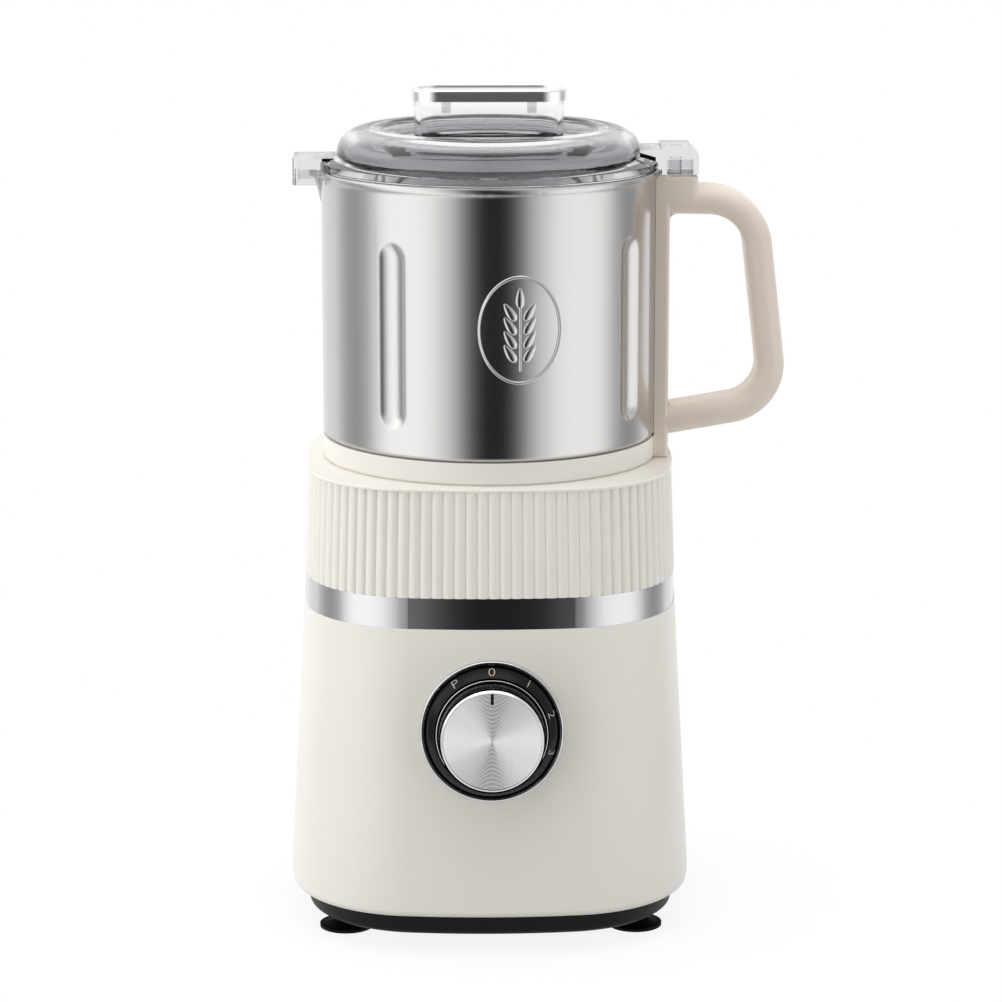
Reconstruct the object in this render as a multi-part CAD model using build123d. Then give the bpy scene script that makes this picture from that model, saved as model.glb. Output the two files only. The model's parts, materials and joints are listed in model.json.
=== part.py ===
from build123d import *
import math
import os

# Electric grain grinder. A motor base on four suction feet carries a lift-off steel jug
# with a clear lid. The dial faces -Y, the jug's handle is at +X and its spout at -X. The
# origin is on the counter, under the motor shaft. Lengths are in millimetres and angles in
# degrees. Heights named low and high are measured from the counter.

# Clearances
fit_gap = 0.05
run_gap = 0.05
slide_gap = 0.3
overrun = 1.0

# Heights of the stack, from the counter up
foot_stand = 6.0
pan_height = 8.7
body_height = 112.3
band_height = 12.0
collar_height = 41.7
jug_ring_height = 8.7
jug_height = 103.9

# Rounded-square section of the base: arc radii as shares of its half width
side_arc_share = 3.4
corner_arc_share = 0.62

# Lower housing
body_draft = 6.3
body_wall = 3.0
body_round = 2.7
boss_inset_x = 30.5
boss_inset_y = 15.5
boss_radius = 4.6
boss_height = 24.0
boss_web = 2.4

# Bottom cover
pan_inset = 4.7
pan_draft = 2.0
pan_wall = 2.5
pan_flange = 3.0
vent_count = 7
vent_width = 2.6
vent_length = 26.0
vent_pitch = 7.0
vent_place = 24.0
plate_screw_radius = 1.9
plate_screw_head = 3.6
plate_screw_head_height = 2.2
plate_screw_grip = 14.0

# Suction feet
foot_inset_x = 16.0
foot_inset_y = 30.5
foot_radius = 10.5
foot_lip = 1.2
foot_cup_height = 4.0
foot_cup_hollow = 1.1
foot_cup_bore = 8.6
foot_cup_depth = 2.6
foot_neck_radius = 4.2
foot_collar_radius = 6.6
foot_collar_height = 1.4
foot_stem_radius = 3.2
foot_barb_radius = 4.0
foot_barb_height = 2.2

# Bright band and ribbed collar
band_inset = 0.3
collar_step = 1.1
collar_draft = 1.6
collar_ledge = 5.2
collar_wall = 3.0
collar_top = 3.0
rib_count = 112
rib_depth = 0.95
shoulder_height = 1.0
shoulder_round = 0.5
shoulder_overhang = 0.3
spigot_depth = 8.0
spigot_wall = 2.4
well_inset = 16.0
well_depth = 15.6
well_wall = 2.5
well_hole = 8.0
well_lip = 2.0
well_lip_height = 1.0

# Motor
shaft_radius = 4.0
shaft_tail = 3.0
post_count = 4
post_turn = 22.5
post_length = 20.0
post_radius = 5.5
post_inset = 7.0
mount_height = 6.0
mount_radius = 6.0
mount_screw_radius = 1.5
mount_screw_head = 3.2
mount_screw_head_height = 2.4
mount_screw_grip = 12.0
bracket_thick = 3.0
top_bracket_rim = 6.0
hub_height = 9.0
hub_wall = 2.5
bearing_radius = 9.0
bearing_height = 7.0
pillar_count = 4
pillar_turn = 45.0
pillar_radius = 4.5
pillar_reach = 31.0
upper_pillar = 26.0
lower_pillar = 20.0
stator_radius = 36.5
stator_bore = 20.5
stator_height = 46.0
air_gap = 0.6
coil_inner = 25.0
coil_thick = 8.0
coil_angle = 64.0
coil_clear_angle = 1.0
coil_overhang = 7.0
bolt_radius = 2.0
bolt_head = 3.6
bolt_head_height = 3.0
bolt_grip = 14.0
winding_radius = 16.0
winding_height = 5.0
commutator_radius = 9.0
commutator_height = 10.0
commutator_gap = 6.0
fan_radius = 24.0
fan_height = 4.5
fan_disc = 1.4
fan_hub = 7.5
fan_blade = 1.2
fan_blades = 9
fan_gap = 1.0
brush_reach = 22.0
brush_half_width = 2.5
brush_height = 5.0
holder_wall = 2.0
holder_inner = 11.0
holder_reach = 29.0

# Dog coupling between motor and blade
dog_radius = 14.0
dog_inner = 7.5
dog_angle = 34.0
dog_height = 5.5
dog_count = 4
dog_space = 0.8
drive_disc = 4.0
driven_disc = 3.5
coupling_lift = 1.5

# Dial
dial_space = 3.6
trim_radius = 27.3
trim_width = 1.8
trim_proud = 1.8
trim_round = 0.8
dial_proud = 6.3
dial_bore = 21.8
dial_tube_wall = 1.8
dial_back_depth = 4.0
dial_back_thick = 2.0
dial_edge_rise = 1.1
switch_half = 15.0
switch_depth = 16.0
bushing_radius = 4.6
bushing_height = 6.0
nut_width = 12.0
nut_height = 2.8
spindle_radius = 3.0
spindle_tail = 12.0
spindle_cover = 4.0
knob_space = 1.4
knob_draft = 0.4
ring_space = 0.6
knob_ring_low = 6.5
knob_ring_height = 1.1
knob_ring_round = 0.3
knob_low = 2.4
knob_proud = 18.0
knob_wall = 1.8
knob_roof = 3.0
knob_hub = 6.0
face_margin = 0.6
face_thick = 1.4
face_chamfer = 0.6
pointer_width = 1.1
pointer_length = 4.2
pointer_depth = 0.8

# Cord gland at the back
gland_height = 35.0
gland_radius = 6.0
gland_bore = 3.6
gland_flange = 8.6
gland_flange_thick = 2.4
gland_nose = 6.0
gland_tail = 5.0

# Interlock in the base
button_inset = 3.5
button_radius = 1.6
button_proud = 1.5
button_depth = 10.5
button_well_depth = 13.0
lock_switch_length = 11.0
lock_switch_width = 18.0
lock_switch_height = 15.0
lock_switch_setback = 6.5

# Jug
jug_radius = 65.0
jug_wall = 1.0
jug_round = 2.0
rim_overhang = 0.7
rim_height = 3.0
rim_round = 0.6
flute_width = 13.0
flute_depth = 2.3
flute_low = 11.0
flute_high = 82.0
flute_angles = (35.0, 125.0, 235.0, 325.0)
spout_radius = 9.0
spout_foot_radius = 4.5
spout_reach = 4.0
spout_height = 14.0

# Jug foot ring
ring_plate = 3.0
ring_wall = 2.6
shadow_line = 0.8
seat_spigot_gap = 1.0
seat_spigot_depth = 11.0
seat_spigot_wall = 2.5

# Blade bearing in the jug's floor
housing_radius = 9.5
housing_flange = 16.0
housing_flange_thick = 3.0
housing_chamfer = 1.0
gasket_thick = 1.0
housing_clear = 1.0
bush_radius = 6.5
bush_height = 4.6
seal_height = 2.0
nut_across = 27.0
housing_nut_height = 4.0

# Blades
blade_shaft_radius = 4.0
spacer_radius = 7.0
spacer_height = 5.0
spacer_gap = 0.5
blade_thick = 1.6
blade_width = 15.0
blade_tip_width = 7.0
blade_hub = 11.0
lower_blade_reach = 47.0
upper_blade_reach = 42.0
blade_flat = 24.0
lower_tip_angle = -10.0
upper_tip_angle = 24.0
blade_nut_radius = 6.4
blade_nut_height = 4.2
blade_dome_height = 2.0
blade_dome_round_share = 0.9

# Handle
handle_depth = 23.0
grip_thick = 10.8
root_thick = 4.6
root_round = 1.5
head_reach = 15.5
head_round = 1.2
head_corner = 2.5
head_drop = 2.25
grip_low = 13.65
grip_low_slope = 7.5
grip_reach_low = 46.4
grip_reach_high = 37.2
grip_high_drop = 10.4
grip_high_slope = 0.7
grip_low_round = 18.0
grip_high_round = 19.5
gap_root_round = 3.5

# Handle fasteners
stud_radius = 2.6
stud_spread = 7.5
stud_cover = 0.7
stud_low = 34.0
stud_high = 82.0
handle_screw_radius = 1.2
handle_screw_head = 2.3
handle_screw_head_height = 1.5

# Push rod
rod_standoff = 1.1
rod_thick = 1.6
rod_width = 3.0
rod_lift = 3.0
rod_head_reach = 9.5
rod_head_width = 6.0
rod_head_height = 4.5
rod_foot_thick = 2.0
rod_foot_reach = 5.0
spring_radius = 1.7
wire_radius = 0.35
spring_turns = 5
pocket_depth = 12.0

# Lid
lid_overhang = 0.8
lid_edge = 2.8
lid_wall = 2.4
dome_foot_drop = 6.9
dome_foot_rise = 2.0
dome_bulge_inset = 1.4
dome_bulge_rise = 5.6
crest_inset = 12.4
crest_rise = 10.0
crest_width = 4.5
crest_top = 0.7
recess_slope = 5.0
recess_depth = 2.6
skirt_gap = 2.2
skirt_wall = 2.2
skirt_depth = 9.0
boss_length = 57.6
boss_width = 18.0
boss_rise = 13.6
boss_wall = 2.2
boss_roof = 2.2
cap_length = 60.0
cap_width = 20.4
cap_thick = 4.6
cap_round = 1.2
cap_dish = 2.4
cap_dish_depth = 0.6
clip_place = 16.5
clip_length = 3.5
clip_width = 5.0
clip_depth = 5.0
tab_width = 23.0
tab_height = 10.8
tab_wall = 2.0
tab_chamfer = 3.0
ledge_drop = 1.2
tab_gap = 0.4
finger_radius = 2.4
spout_tab_reach = 10.6
spout_tab_low = 5.6
spout_tab_high = 4.7
spout_tab_round = 2.0
lid_seal_groove = 0.6
lid_seal_height = 3.6
lid_seal_low = 2.4
lid_seal_lip_shares = (0.3, 0.4, 0.5)

# Heights worked out from the stack
body_low = foot_stand + pan_height
band_low = body_low + body_height
collar_low = band_low + band_height
base_top = collar_low + collar_height
steel_low = base_top + jug_ring_height
rim_top = steel_low + jug_height
well_floor = base_top - well_depth
mount_high = well_floor - well_wall - post_length
bracket_high = mount_high - mount_height
bracket_low = bracket_high - bracket_thick
stator_high = bracket_low - upper_pillar
stator_low = stator_high - stator_height
foot_bracket_high = stator_low - lower_pillar
foot_bracket_low = foot_bracket_high - bracket_thick
drive_low = well_floor + coupling_lift
drive_high = drive_low + drive_disc
driven_low = drive_high + dog_height + dog_space
driven_high = driven_low + driven_disc
plate_low = steel_low - ring_plate
housing_low = driven_high + housing_clear
floor_high = steel_low + jug_wall
housing_seat = floor_high + gasket_thick
housing_high = housing_seat + housing_flange_thick
spacer_low = housing_high + spacer_gap
lower_blade_low = spacer_low + spacer_height
upper_blade_low = lower_blade_low + blade_thick
blade_nut_low = upper_blade_low + blade_thick
blade_nut_high = blade_nut_low + blade_nut_height
handle_low = base_top + slide_gap
head_top = rim_top - head_drop
rod_low = base_top + button_proud + slide_gap
rod_high = head_top + slide_gap
lid_low = rim_top + slide_gap
dome_low = lid_low + lid_edge + dome_foot_rise
crest_high = dome_low + crest_rise
recess_floor = crest_high - recess_depth
boss_high = recess_floor + boss_rise
tab_low = head_top + tab_gap

# Widths worked out from the jug outwards and inwards
collar_half_high = jug_radius + collar_ledge
collar_half_low = collar_half_high + collar_draft
body_half_high = collar_half_low + collar_step
body_half_low = body_half_high + body_draft
pan_half_high = body_half_low - pan_inset
pan_half_low = pan_half_high - pan_draft
foot_x = pan_half_low - foot_inset_x
foot_y = pan_half_low - foot_inset_y
boss_x = pan_half_low - boss_inset_x
boss_y = pan_half_low - boss_inset_y
well_radius = jug_radius - well_inset
post_reach = well_radius - post_inset
button_place = jug_radius - button_inset
rod_foot_inner = jug_radius - rod_foot_reach
stud_reach = root_thick - handle_screw_head_height - stud_cover
lid_radius = jug_radius + lid_overhang
dome_radius = lid_radius - dome_foot_drop
crest_radius = dome_radius - crest_inset
recess_radius = crest_radius - crest_width - recess_slope

# Dial sizes worked out from its place under the band and its bore
dial_height = band_low - spigot_depth - dial_space - trim_radius
knob_radius = dial_bore - knob_space
knob_front_radius = knob_radius - knob_draft
knob_ring_radius = dial_bore - ring_space
face_radius = knob_front_radius - face_margin
spindle_tip = knob_proud - spindle_cover


def body_half(height):
    """Half width of the lower housing at a height."""
    return body_half_low + (body_half_high - body_half_low) * (height - body_low) / body_height


def collar_half(height):
    """Half width of the collar between its ribs at a height."""
    return collar_half_low + (collar_half_high - collar_half_low) * (height - collar_low) / collar_height


def outline(half, height):
    """Rounded square of eight tangent arcs."""
    side = side_arc_share * half
    corner = corner_arc_share * half
    back = side - half
    centre = (math.sqrt(2 * (side - corner) ** 2 - back ** 2) - back) / 2
    swing = side / math.hypot(centre + back, centre)
    near = swing * (centre + back) - back
    far = swing * centre
    tip = centre + corner / math.sqrt(2)
    edges = []
    for quarter in range(4):
        place = Pos(0, 0, height) * Rot(0, 0, 90 * quarter)
        edges.append(place * ThreePointArc((near, -far), (half, 0), (near, far)))
        edges.append(place * ThreePointArc((near, far), (tip, tip), (far, near)))
    return Wire(edges)


def ribbed_outline(half, height):
    """Rounded square whose edge swells into ribs."""
    plain = outline(half, height)
    edges = []
    for rib in range(rib_count):
        along = plain.tangent_at((rib + 0.5) / rib_count)
        swell = Vector(along.Y, -along.X, 0) * rib_depth
        start = plain.position_at(rib / rib_count)
        crest = plain.position_at((rib + 0.5) / rib_count) + swell
        end = plain.position_at((rib + 1) % rib_count / rib_count)
        edges.append(ThreePointArc(start, crest, end))
    return Wire(edges)


def frustum(half_low, half_high, low, high):
    """Rounded-square solid that tapers evenly between two heights."""
    return Part() + Solid.make_loft([outline(half_low, low), outline(half_high, high)], True)


def body_solid(inset, low, high):
    """Lower housing's outer form, drawn in by an inset, between two heights."""
    return frustum(body_half(low) - inset, body_half(high) - inset, low, high)


def disc(radius, low, high):
    """Upright cylinder between two heights."""
    return Pos(0, 0, low) * Cylinder(radius, high - low, align=(Align.CENTER, Align.CENTER, Align.MIN))


def ring(outer, inner, low, high):
    """Upright tube between two heights."""
    return disc(outer, low, high) - disc(inner, low - overrun, high + overrun)


def block(x_span, y_span, z_span):
    """Box between low and high values on each axis."""
    size = [high - low for low, high in (x_span, y_span, z_span)]
    middle = [(high + low) / 2 for low, high in (x_span, y_span, z_span)]
    return Pos(*middle) * Box(*size)


def spun(points):
    """Solid turned about Z from a closed outline of radius and height."""
    return revolve(make_face(Plane.XZ * Polyline(*points, close=True)), Axis.Z)


def rod_along_x(radius, x_low, x_high, y, z):
    """Cylinder that lies along X."""
    length = x_high - x_low
    turn = Rot(0, 90, 0)
    return Pos(x_low, y, z) * turn * Cylinder(radius, length, align=(Align.CENTER, Align.CENTER, Align.MIN))


def around(shape, reach, count, start=0):
    """Copies of a shape set evenly round Z at a reach."""
    return [Rot(0, 0, start + 360 * k / count) * Pos(reach, 0, 0) * shape for k in range(count)]


def sector(inner, outer, angle, low, high):
    """Part of a tube, centred on +X."""
    half = math.radians(angle / 2)
    far = outer / math.cos(half)
    wedge = make_face(Polyline((0, 0), (far, -far * math.tan(half)), (far, far * math.tan(half)), close=True))
    return ring(outer, inner, low, high) & Pos(0, 0, low) * extrude(wedge, high - low)


def union(shapes):
    """One solid from overlapping shapes."""
    whole = Part()
    for shape in shapes:
        whole += shape
    return whole


def boss_places():
    """Centres of the four cover-screw bosses."""
    return [(sx * boss_x, sy * boss_y) for sx in (-1, 1) for sy in (-1, 1)]


def dial_frame():
    """Plane on the front face, x to the right, y up the face and z outwards."""
    lean = math.atan2(body_half_low - body_half_high, body_height)
    out = (0, -math.cos(lean), math.sin(lean))
    return Plane(origin=(0, -body_half(dial_height), dial_height), x_dir=(1, 0, 0), z_dir=out)


def on_dial(shape):
    """Moves a shape modelled about Z onto the dial's axis."""
    return dial_frame().location * shape


def make_base_shell():
    outer = body_solid(0, body_low, band_low)
    outer = fillet(outer.edges().group_by(Axis.Z)[0], body_round)
    shell = outer - body_solid(body_wall, body_low - overrun, band_low + overrun)
    boss_low = body_low + pan_flange + fit_gap
    for x, y in boss_places():
        boss = Pos(x, y, 0) * disc(boss_radius, boss_low, boss_low + boss_height)
        wall = math.copysign(body_half_low, y)
        web = block(
            (x - boss_web / 2, x + boss_web / 2),
            (min(y, wall), max(y, wall)),
            (boss_low, boss_low + boss_height),
        )
        shell += (boss + web) & body_solid(body_wall / 2, body_low, band_low)
        hole = disc(plate_screw_radius + fit_gap, boss_low - overrun, boss_low + plate_screw_grip)
        shell -= Pos(x, y, 0) * hole
    dial_hole = disc(dial_bore + dial_tube_wall + fit_gap, -body_wall - dial_back_depth, trim_proud + overrun)
    shell -= on_dial(dial_hole)
    return shell - gland_axis() * disc(gland_radius + fit_gap, -gland_tail - body_wall, gland_nose)


def make_trim_band():
    low_half = body_half(band_low) - band_inset
    high_half = collar_half_low + rib_depth - band_inset
    inner = body_half(band_low) - body_wall
    return frustum(low_half, high_half, band_low, collar_low) - frustum(
        inner, inner, band_low - overrun, collar_low + overrun
    )


def make_ribbed_collar():
    rib_high = base_top - shoulder_height
    sections = [ribbed_outline(collar_half(height), height) for height in (collar_low, rib_high)]
    ribbed = Solid.make_loft(sections, True)
    crest = collar_half(rib_high) + rib_depth + shoulder_overhang
    shoulder = frustum(crest, crest, rib_high, base_top)
    shoulder = fillet(shoulder.edges().group_by(Axis.Z)[-1], shoulder_round)
    collar = Part() + ribbed + shoulder
    cavity_high = base_top - collar_top
    cavity = frustum(
        collar_half(collar_low) - collar_wall, collar_half(cavity_high) - collar_wall,
        collar_low - overrun, cavity_high,
    )
    collar -= cavity
    spigot_half = body_half(band_low) - body_wall - fit_gap
    spigot_low = band_low - spigot_depth
    spigot = frustum(spigot_half, spigot_half, spigot_low, collar_low)
    bore = spigot_half - spigot_wall
    collar += spigot - frustum(bore, bore, spigot_low - overrun, collar_low + overrun)
    collar += disc(well_radius + well_wall, well_floor - well_wall, base_top - collar_top)
    collar -= disc(well_radius, well_floor, base_top + overrun)
    collar += ring(well_hole + well_lip, well_hole, well_floor, well_floor + well_lip_height)
    posts = around(disc(post_radius, mount_high, well_floor - well_wall), post_reach, post_count, post_turn)
    collar = union([collar, *posts])
    hole = disc(mount_screw_radius + fit_gap, mount_high - overrun, mount_high + mount_screw_grip)
    for cut in around(hole, post_reach, post_count, post_turn):
        collar -= cut
    collar -= disc(well_hole, well_floor - well_wall - overrun, well_floor + overrun)
    return collar - Pos(button_place, 0, 0) * disc(
        button_radius + slide_gap, base_top - collar_top - overrun, base_top + overrun
    )


def make_base_plate():
    flange_half = body_half(body_low + pan_flange) - body_wall - fit_gap
    flange = frustum(flange_half, flange_half, body_low, body_low + pan_flange)
    pan = frustum(pan_half_low, pan_half_high, foot_stand, body_low)
    pan = fillet(pan.edges().group_by(Axis.Z)[0], pan_wall)
    floor_top = foot_stand + pan_wall
    hollow = frustum(
        pan_half_low - pan_wall, pan_half_high - pan_wall, floor_top, body_low + pan_flange + overrun
    )
    plate = pan + flange - hollow
    for x, y in boss_places():
        seat = Pos(x, y, 0) * disc(boss_radius, foot_stand, body_low + pan_flange)
        plate += seat & pan + flange
        plate -= Pos(x, y, 0) * disc(
            plate_screw_radius + fit_gap, foot_stand - overrun, body_low + pan_flange + overrun
        )
        plate -= Pos(x, y, 0) * disc(
            plate_screw_head + fit_gap, foot_stand - overrun, foot_stand + plate_screw_head_height
        )
    for sx in (-1, 1):
        for sy in (-1, 1):
            plate -= Pos(sx * foot_x, sy * foot_y, 0) * disc(
                foot_stem_radius + fit_gap, foot_stand - overrun, floor_top + overrun
            )
    slot = extrude(SlotOverall(vent_length, vent_width), pan_wall + overrun * 2)
    for side in (-1, 1):
        for k in range(vent_count):
            across = (k - (vent_count - 1) / 2) * vent_pitch
            plate -= Pos(side * vent_place, across, foot_stand - overrun) * slot
    return plate


def make_foot(x, y):
    stem_high = foot_stand + pan_wall
    barb_high = stem_high + foot_barb_height
    lip = (foot_radius, foot_lip)
    neck = (foot_neck_radius, foot_cup_height)
    dip = tuple((far + near - foot_cup_hollow) / 2 for far, near in zip(lip, neck))
    rest = [
        neck,
        (foot_neck_radius, foot_stand - foot_collar_height),
        (foot_collar_radius, foot_stand - foot_collar_height),
        (foot_collar_radius, foot_stand),
        (foot_stem_radius, foot_stand),
        (foot_stem_radius, stem_high),
        (foot_barb_radius, stem_high),
        (foot_stem_radius / 2, barb_high),
        (0, barb_high),
        (0, foot_cup_depth),
        (foot_cup_bore, 0),
        (foot_radius, 0),
        lip,
    ]
    section = make_face(Polyline(*rest) + ThreePointArc(lip, dip, neck))
    return Pos(x, y, 0) * revolve(Plane.XZ * section, Axis.Z)


def make_plate_screws():
    head_high = foot_stand + plate_screw_head_height
    tip = body_low + pan_flange + plate_screw_grip - fit_gap
    screw = disc(plate_screw_head, foot_stand, head_high) + disc(plate_screw_radius, head_high, tip)
    return [Pos(x, y, 0) * screw for x, y in boss_places()]


def gland_axis():
    """Frame on the back face, with Z pointing out of the back."""
    return Location((0, body_half(gland_height), gland_height), (-90, 0, 0))


def make_cord_gland():
    flange = gland_axis() * disc(gland_flange, -body_wall, gland_flange_thick)
    flange -= body_solid(-fit_gap, body_low, band_low)
    tube = gland_axis() * ring(gland_radius, gland_bore, -body_wall - gland_tail, gland_nose)
    cut = gland_axis() * disc(gland_bore, -body_wall - gland_tail - overrun, gland_nose + overrun)
    return tube + flange - cut


def make_bezel_trim():
    trim = ring(trim_radius, trim_radius - trim_width, -body_wall, trim_proud)
    trim = fillet(trim.edges().group_by(Axis.Z)[-1], trim_round)
    return on_dial(trim) - body_solid(-fit_gap, body_low, band_low)


def make_dial_bezel():
    outer = trim_radius - trim_width - fit_gap
    tube = dial_bore + dial_tube_wall
    back = -body_wall - dial_back_depth
    slope = [(dial_bore, -body_wall), (outer, -body_wall), (outer, dial_edge_rise)]
    middle = ((outer + dial_bore) / 2, (dial_edge_rise + dial_proud) / 2 + dial_edge_rise / 2)
    dome = Polyline(*slope) + ThreePointArc((outer, dial_edge_rise), middle, (dial_bore, dial_proud))
    dome += Line((dial_bore, dial_proud), (dial_bore, -body_wall))
    flange = on_dial(revolve(make_face(Plane.XZ * dome), Axis.Z)) - body_solid(-fit_gap, body_low, band_low)
    cup = ring(tube, dial_bore, back, 0) + disc(tube, back, back + dial_back_thick)
    cup -= disc(bushing_radius + fit_gap, back - overrun, back + dial_back_thick + overrun)
    return flange + on_dial(cup)


def make_speed_switch():
    back = -body_wall - dial_back_depth
    case = block((-switch_half, switch_half), (-switch_half, switch_half), (back - switch_depth, back))
    case += disc(bushing_radius, back, back + bushing_height)
    bore = disc(spindle_radius + run_gap, back - switch_depth + overrun, back + bushing_height + overrun)
    return on_dial(case - bore)


def make_switch_nut():
    low = -body_wall - dial_back_depth + dial_back_thick
    nut = Pos(0, 0, low) * extrude(RegularPolygon(nut_width / 2, 6, major_radius=False), nut_height)
    return on_dial(nut - disc(bushing_radius + fit_gap, low - overrun, low + nut_height + overrun))


def make_knob_spindle():
    back = -body_wall - dial_back_depth
    return on_dial(disc(spindle_radius, back - spindle_tail, spindle_tip))


def make_knob_body():
    front = knob_proud - face_thick + face_chamfer
    skin = spun([(0, knob_low), (knob_radius, knob_low), (knob_front_radius, front), (0, front)])
    roof = front - face_thick - knob_roof
    skin -= disc(knob_radius - knob_wall, knob_low - overrun, roof)
    skin += disc(knob_hub, knob_low, roof)
    skin -= disc(spindle_radius + fit_gap, knob_low - overrun, spindle_tip)
    return on_dial(skin - disc(face_radius + fit_gap, knob_proud - face_thick, knob_proud + overrun))


def make_knob_ring():
    bead = ring(knob_ring_radius, knob_radius + fit_gap, knob_ring_low, knob_ring_low + knob_ring_height)
    return on_dial(fillet(bead.edges().group_by(Axis.Z)[-1], knob_ring_round))


def pointer_solid(gap):
    """Bar at the top of the knob's face, grown by a gap."""
    half = pointer_width / 2 + gap
    top = face_radius - face_chamfer * 2 + gap
    low = knob_proud - pointer_depth - gap
    return block((-half, half), (top - pointer_length - gap * 2, top), (low, knob_proud + gap * 2))


def make_knob_face():
    face = disc(face_radius, knob_proud - face_thick, knob_proud)
    face = chamfer(face.edges().group_by(Axis.Z)[-1], face_chamfer)
    return on_dial(face - pointer_solid(fit_gap))


def make_knob_pointer():
    return on_dial(pointer_solid(0))


def make_interlock_switch():
    high = base_top - collar_top
    x_low = button_place - lock_switch_setback
    case = block(
        (x_low, x_low + lock_switch_length),
        (-lock_switch_width / 2, lock_switch_width / 2),
        (high - lock_switch_height, high),
    )
    bore = disc(button_radius + slide_gap, high - button_well_depth, high + overrun)
    return case - Pos(button_place, 0, 0) * bore


def make_interlock_button():
    top = base_top + button_proud
    low = base_top - collar_top - button_depth
    button = Pos(button_place, 0, 0) * disc(button_radius, low, top)
    return fillet(button.edges().group_by(Axis.Z)[-1], button_radius / 2)


def bolt_hole(low, high):
    """Cuts for the four long motor bolts."""
    return around(disc(bolt_radius + fit_gap, low, high), pillar_reach, pillar_count, pillar_turn)


def make_stator_core():
    core = ring(stator_radius, stator_bore, stator_low, stator_high)
    for cut in bolt_hole(stator_low - overrun, stator_high + overrun):
        core -= cut
    slot = sector(
        coil_inner - fit_gap, coil_inner + coil_thick + fit_gap, coil_angle + coil_clear_angle,
        stator_low - overrun, stator_high + overrun,
    )
    return core - Rot(0, 0, 90) * slot - Rot(0, 0, -90) * slot


def make_field_coils():
    low = stator_low - coil_overhang
    coil = sector(coil_inner, coil_inner + coil_thick, coil_angle, low, stator_high + coil_overhang)
    return [Rot(0, 0, side * 90) * coil for side in (-1, 1)]


def make_motor_top_bracket():
    hub_low = bracket_high - hub_height
    plate = disc(post_reach + top_bracket_rim, bracket_low, bracket_high)
    plate += disc(bearing_radius + hub_wall, hub_low, bracket_high)
    pillar = disc(pillar_radius, stator_high, bracket_high)
    plate = union([plate, *around(pillar, pillar_reach, pillar_count, pillar_turn)])
    plate -= disc(bearing_radius + fit_gap, hub_low - overrun, hub_low + bearing_height)
    plate -= disc(shaft_radius + slide_gap, hub_low, bracket_high + overrun)
    for cut in bolt_hole(stator_high - overrun, stator_high + bolt_grip):
        plate -= cut
    hole = disc(mount_screw_radius + fit_gap, bracket_low - overrun, bracket_high + overrun)
    for cut in around(hole, post_reach, post_count, post_turn):
        plate -= cut
    return plate


def make_motor_bottom_bracket():
    hub_high = foot_bracket_low + hub_height
    plate = disc(stator_radius, foot_bracket_low, foot_bracket_high)
    plate += disc(bearing_radius + hub_wall, foot_bracket_low, hub_high)
    pillar = disc(pillar_radius, foot_bracket_low, stator_low)
    plate = union([plate, *around(pillar, pillar_reach, pillar_count, pillar_turn)])
    plate -= disc(bearing_radius + fit_gap, hub_high - bearing_height, hub_high + overrun)
    plate -= disc(shaft_radius + slide_gap, foot_bracket_low - overrun, hub_high)
    for cut in bolt_hole(foot_bracket_low - overrun, stator_low + overrun):
        plate -= cut
    return plate


def make_bearing(low):
    return ring(bearing_radius, shaft_radius + run_gap, low, low + bearing_height)


def make_motor_bolts():
    shank = disc(bolt_radius, foot_bracket_low, stator_high + bolt_grip - fit_gap)
    head = disc(bolt_head, foot_bracket_low - bolt_head_height, foot_bracket_low)
    return around(shank + head, pillar_reach, pillar_count, pillar_turn)


def make_motor_mounts():
    bush = ring(mount_radius, mount_screw_radius + fit_gap, bracket_high, mount_high)
    return around(bush, post_reach, post_count, post_turn)


def make_mount_screws():
    shank = disc(mount_screw_radius, bracket_low, mount_high + mount_screw_grip - fit_gap)
    head = disc(mount_screw_head, bracket_low - mount_screw_head_height, bracket_low)
    return around(shank + head, post_reach, post_count, post_turn)


def brush_span():
    """Heights of the brushes, level with the middle of the commutator."""
    middle = stator_high + commutator_gap + commutator_height / 2
    return middle - brush_height / 2, middle + brush_height / 2


def make_carbon_brushes():
    half = brush_half_width
    brush = block((commutator_radius + slide_gap, brush_reach), (-half, half), brush_span())
    return [Rot(0, 0, side) * brush for side in (0, 180)]


def make_brush_holders():
    low, high = brush_span()
    half = brush_half_width + holder_wall
    case = block((holder_inner, holder_reach), (-half, half), (low - holder_wall, bracket_low))
    slot_half = brush_half_width + fit_gap
    slot = block(
        (holder_inner - overrun, brush_reach + fit_gap),
        (-slot_half, slot_half),
        (low - fit_gap, high + fit_gap),
    )
    hub = disc(bearing_radius + hub_wall + slide_gap, bracket_high - hub_height - slide_gap, bracket_high)
    return [Rot(0, 0, side) * (case - slot - hub) for side in (0, 180)]


def make_motor_shaft():
    return disc(shaft_radius, foot_bracket_low - shaft_tail, drive_high)


def make_armature():
    core = disc(stator_bore - air_gap, stator_low, stator_high)
    core += disc(winding_radius, stator_low - winding_height, stator_high + winding_height)
    bore = disc(shaft_radius + fit_gap, stator_low - winding_height * 2, stator_high + winding_height * 2)
    return core - bore


def make_commutator():
    low = stator_high + commutator_gap
    return ring(commutator_radius, shaft_radius + fit_gap, low, low + commutator_height)


def make_cooling_fan():
    low = foot_bracket_low + hub_height + fan_gap
    high = low + fan_height
    fan = disc(fan_radius, low, low + fan_disc) + disc(fan_hub, low, high)
    blade = block((fan_hub / 2, fan_radius - fan_blade), (-fan_blade / 2, fan_blade / 2), (low, high))
    fan = union([fan, *around(blade, 0, fan_blades)])
    return fan - disc(shaft_radius + fit_gap, low - overrun, high + overrun)


def make_drive_coupling():
    dog = sector(dog_inner, dog_radius, dog_angle, drive_low, drive_high + dog_height)
    coupling = union([disc(dog_radius, drive_low, drive_high), *around(dog, 0, dog_count)])
    return coupling - disc(shaft_radius + fit_gap, drive_low - overrun, drive_high + overrun)


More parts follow.
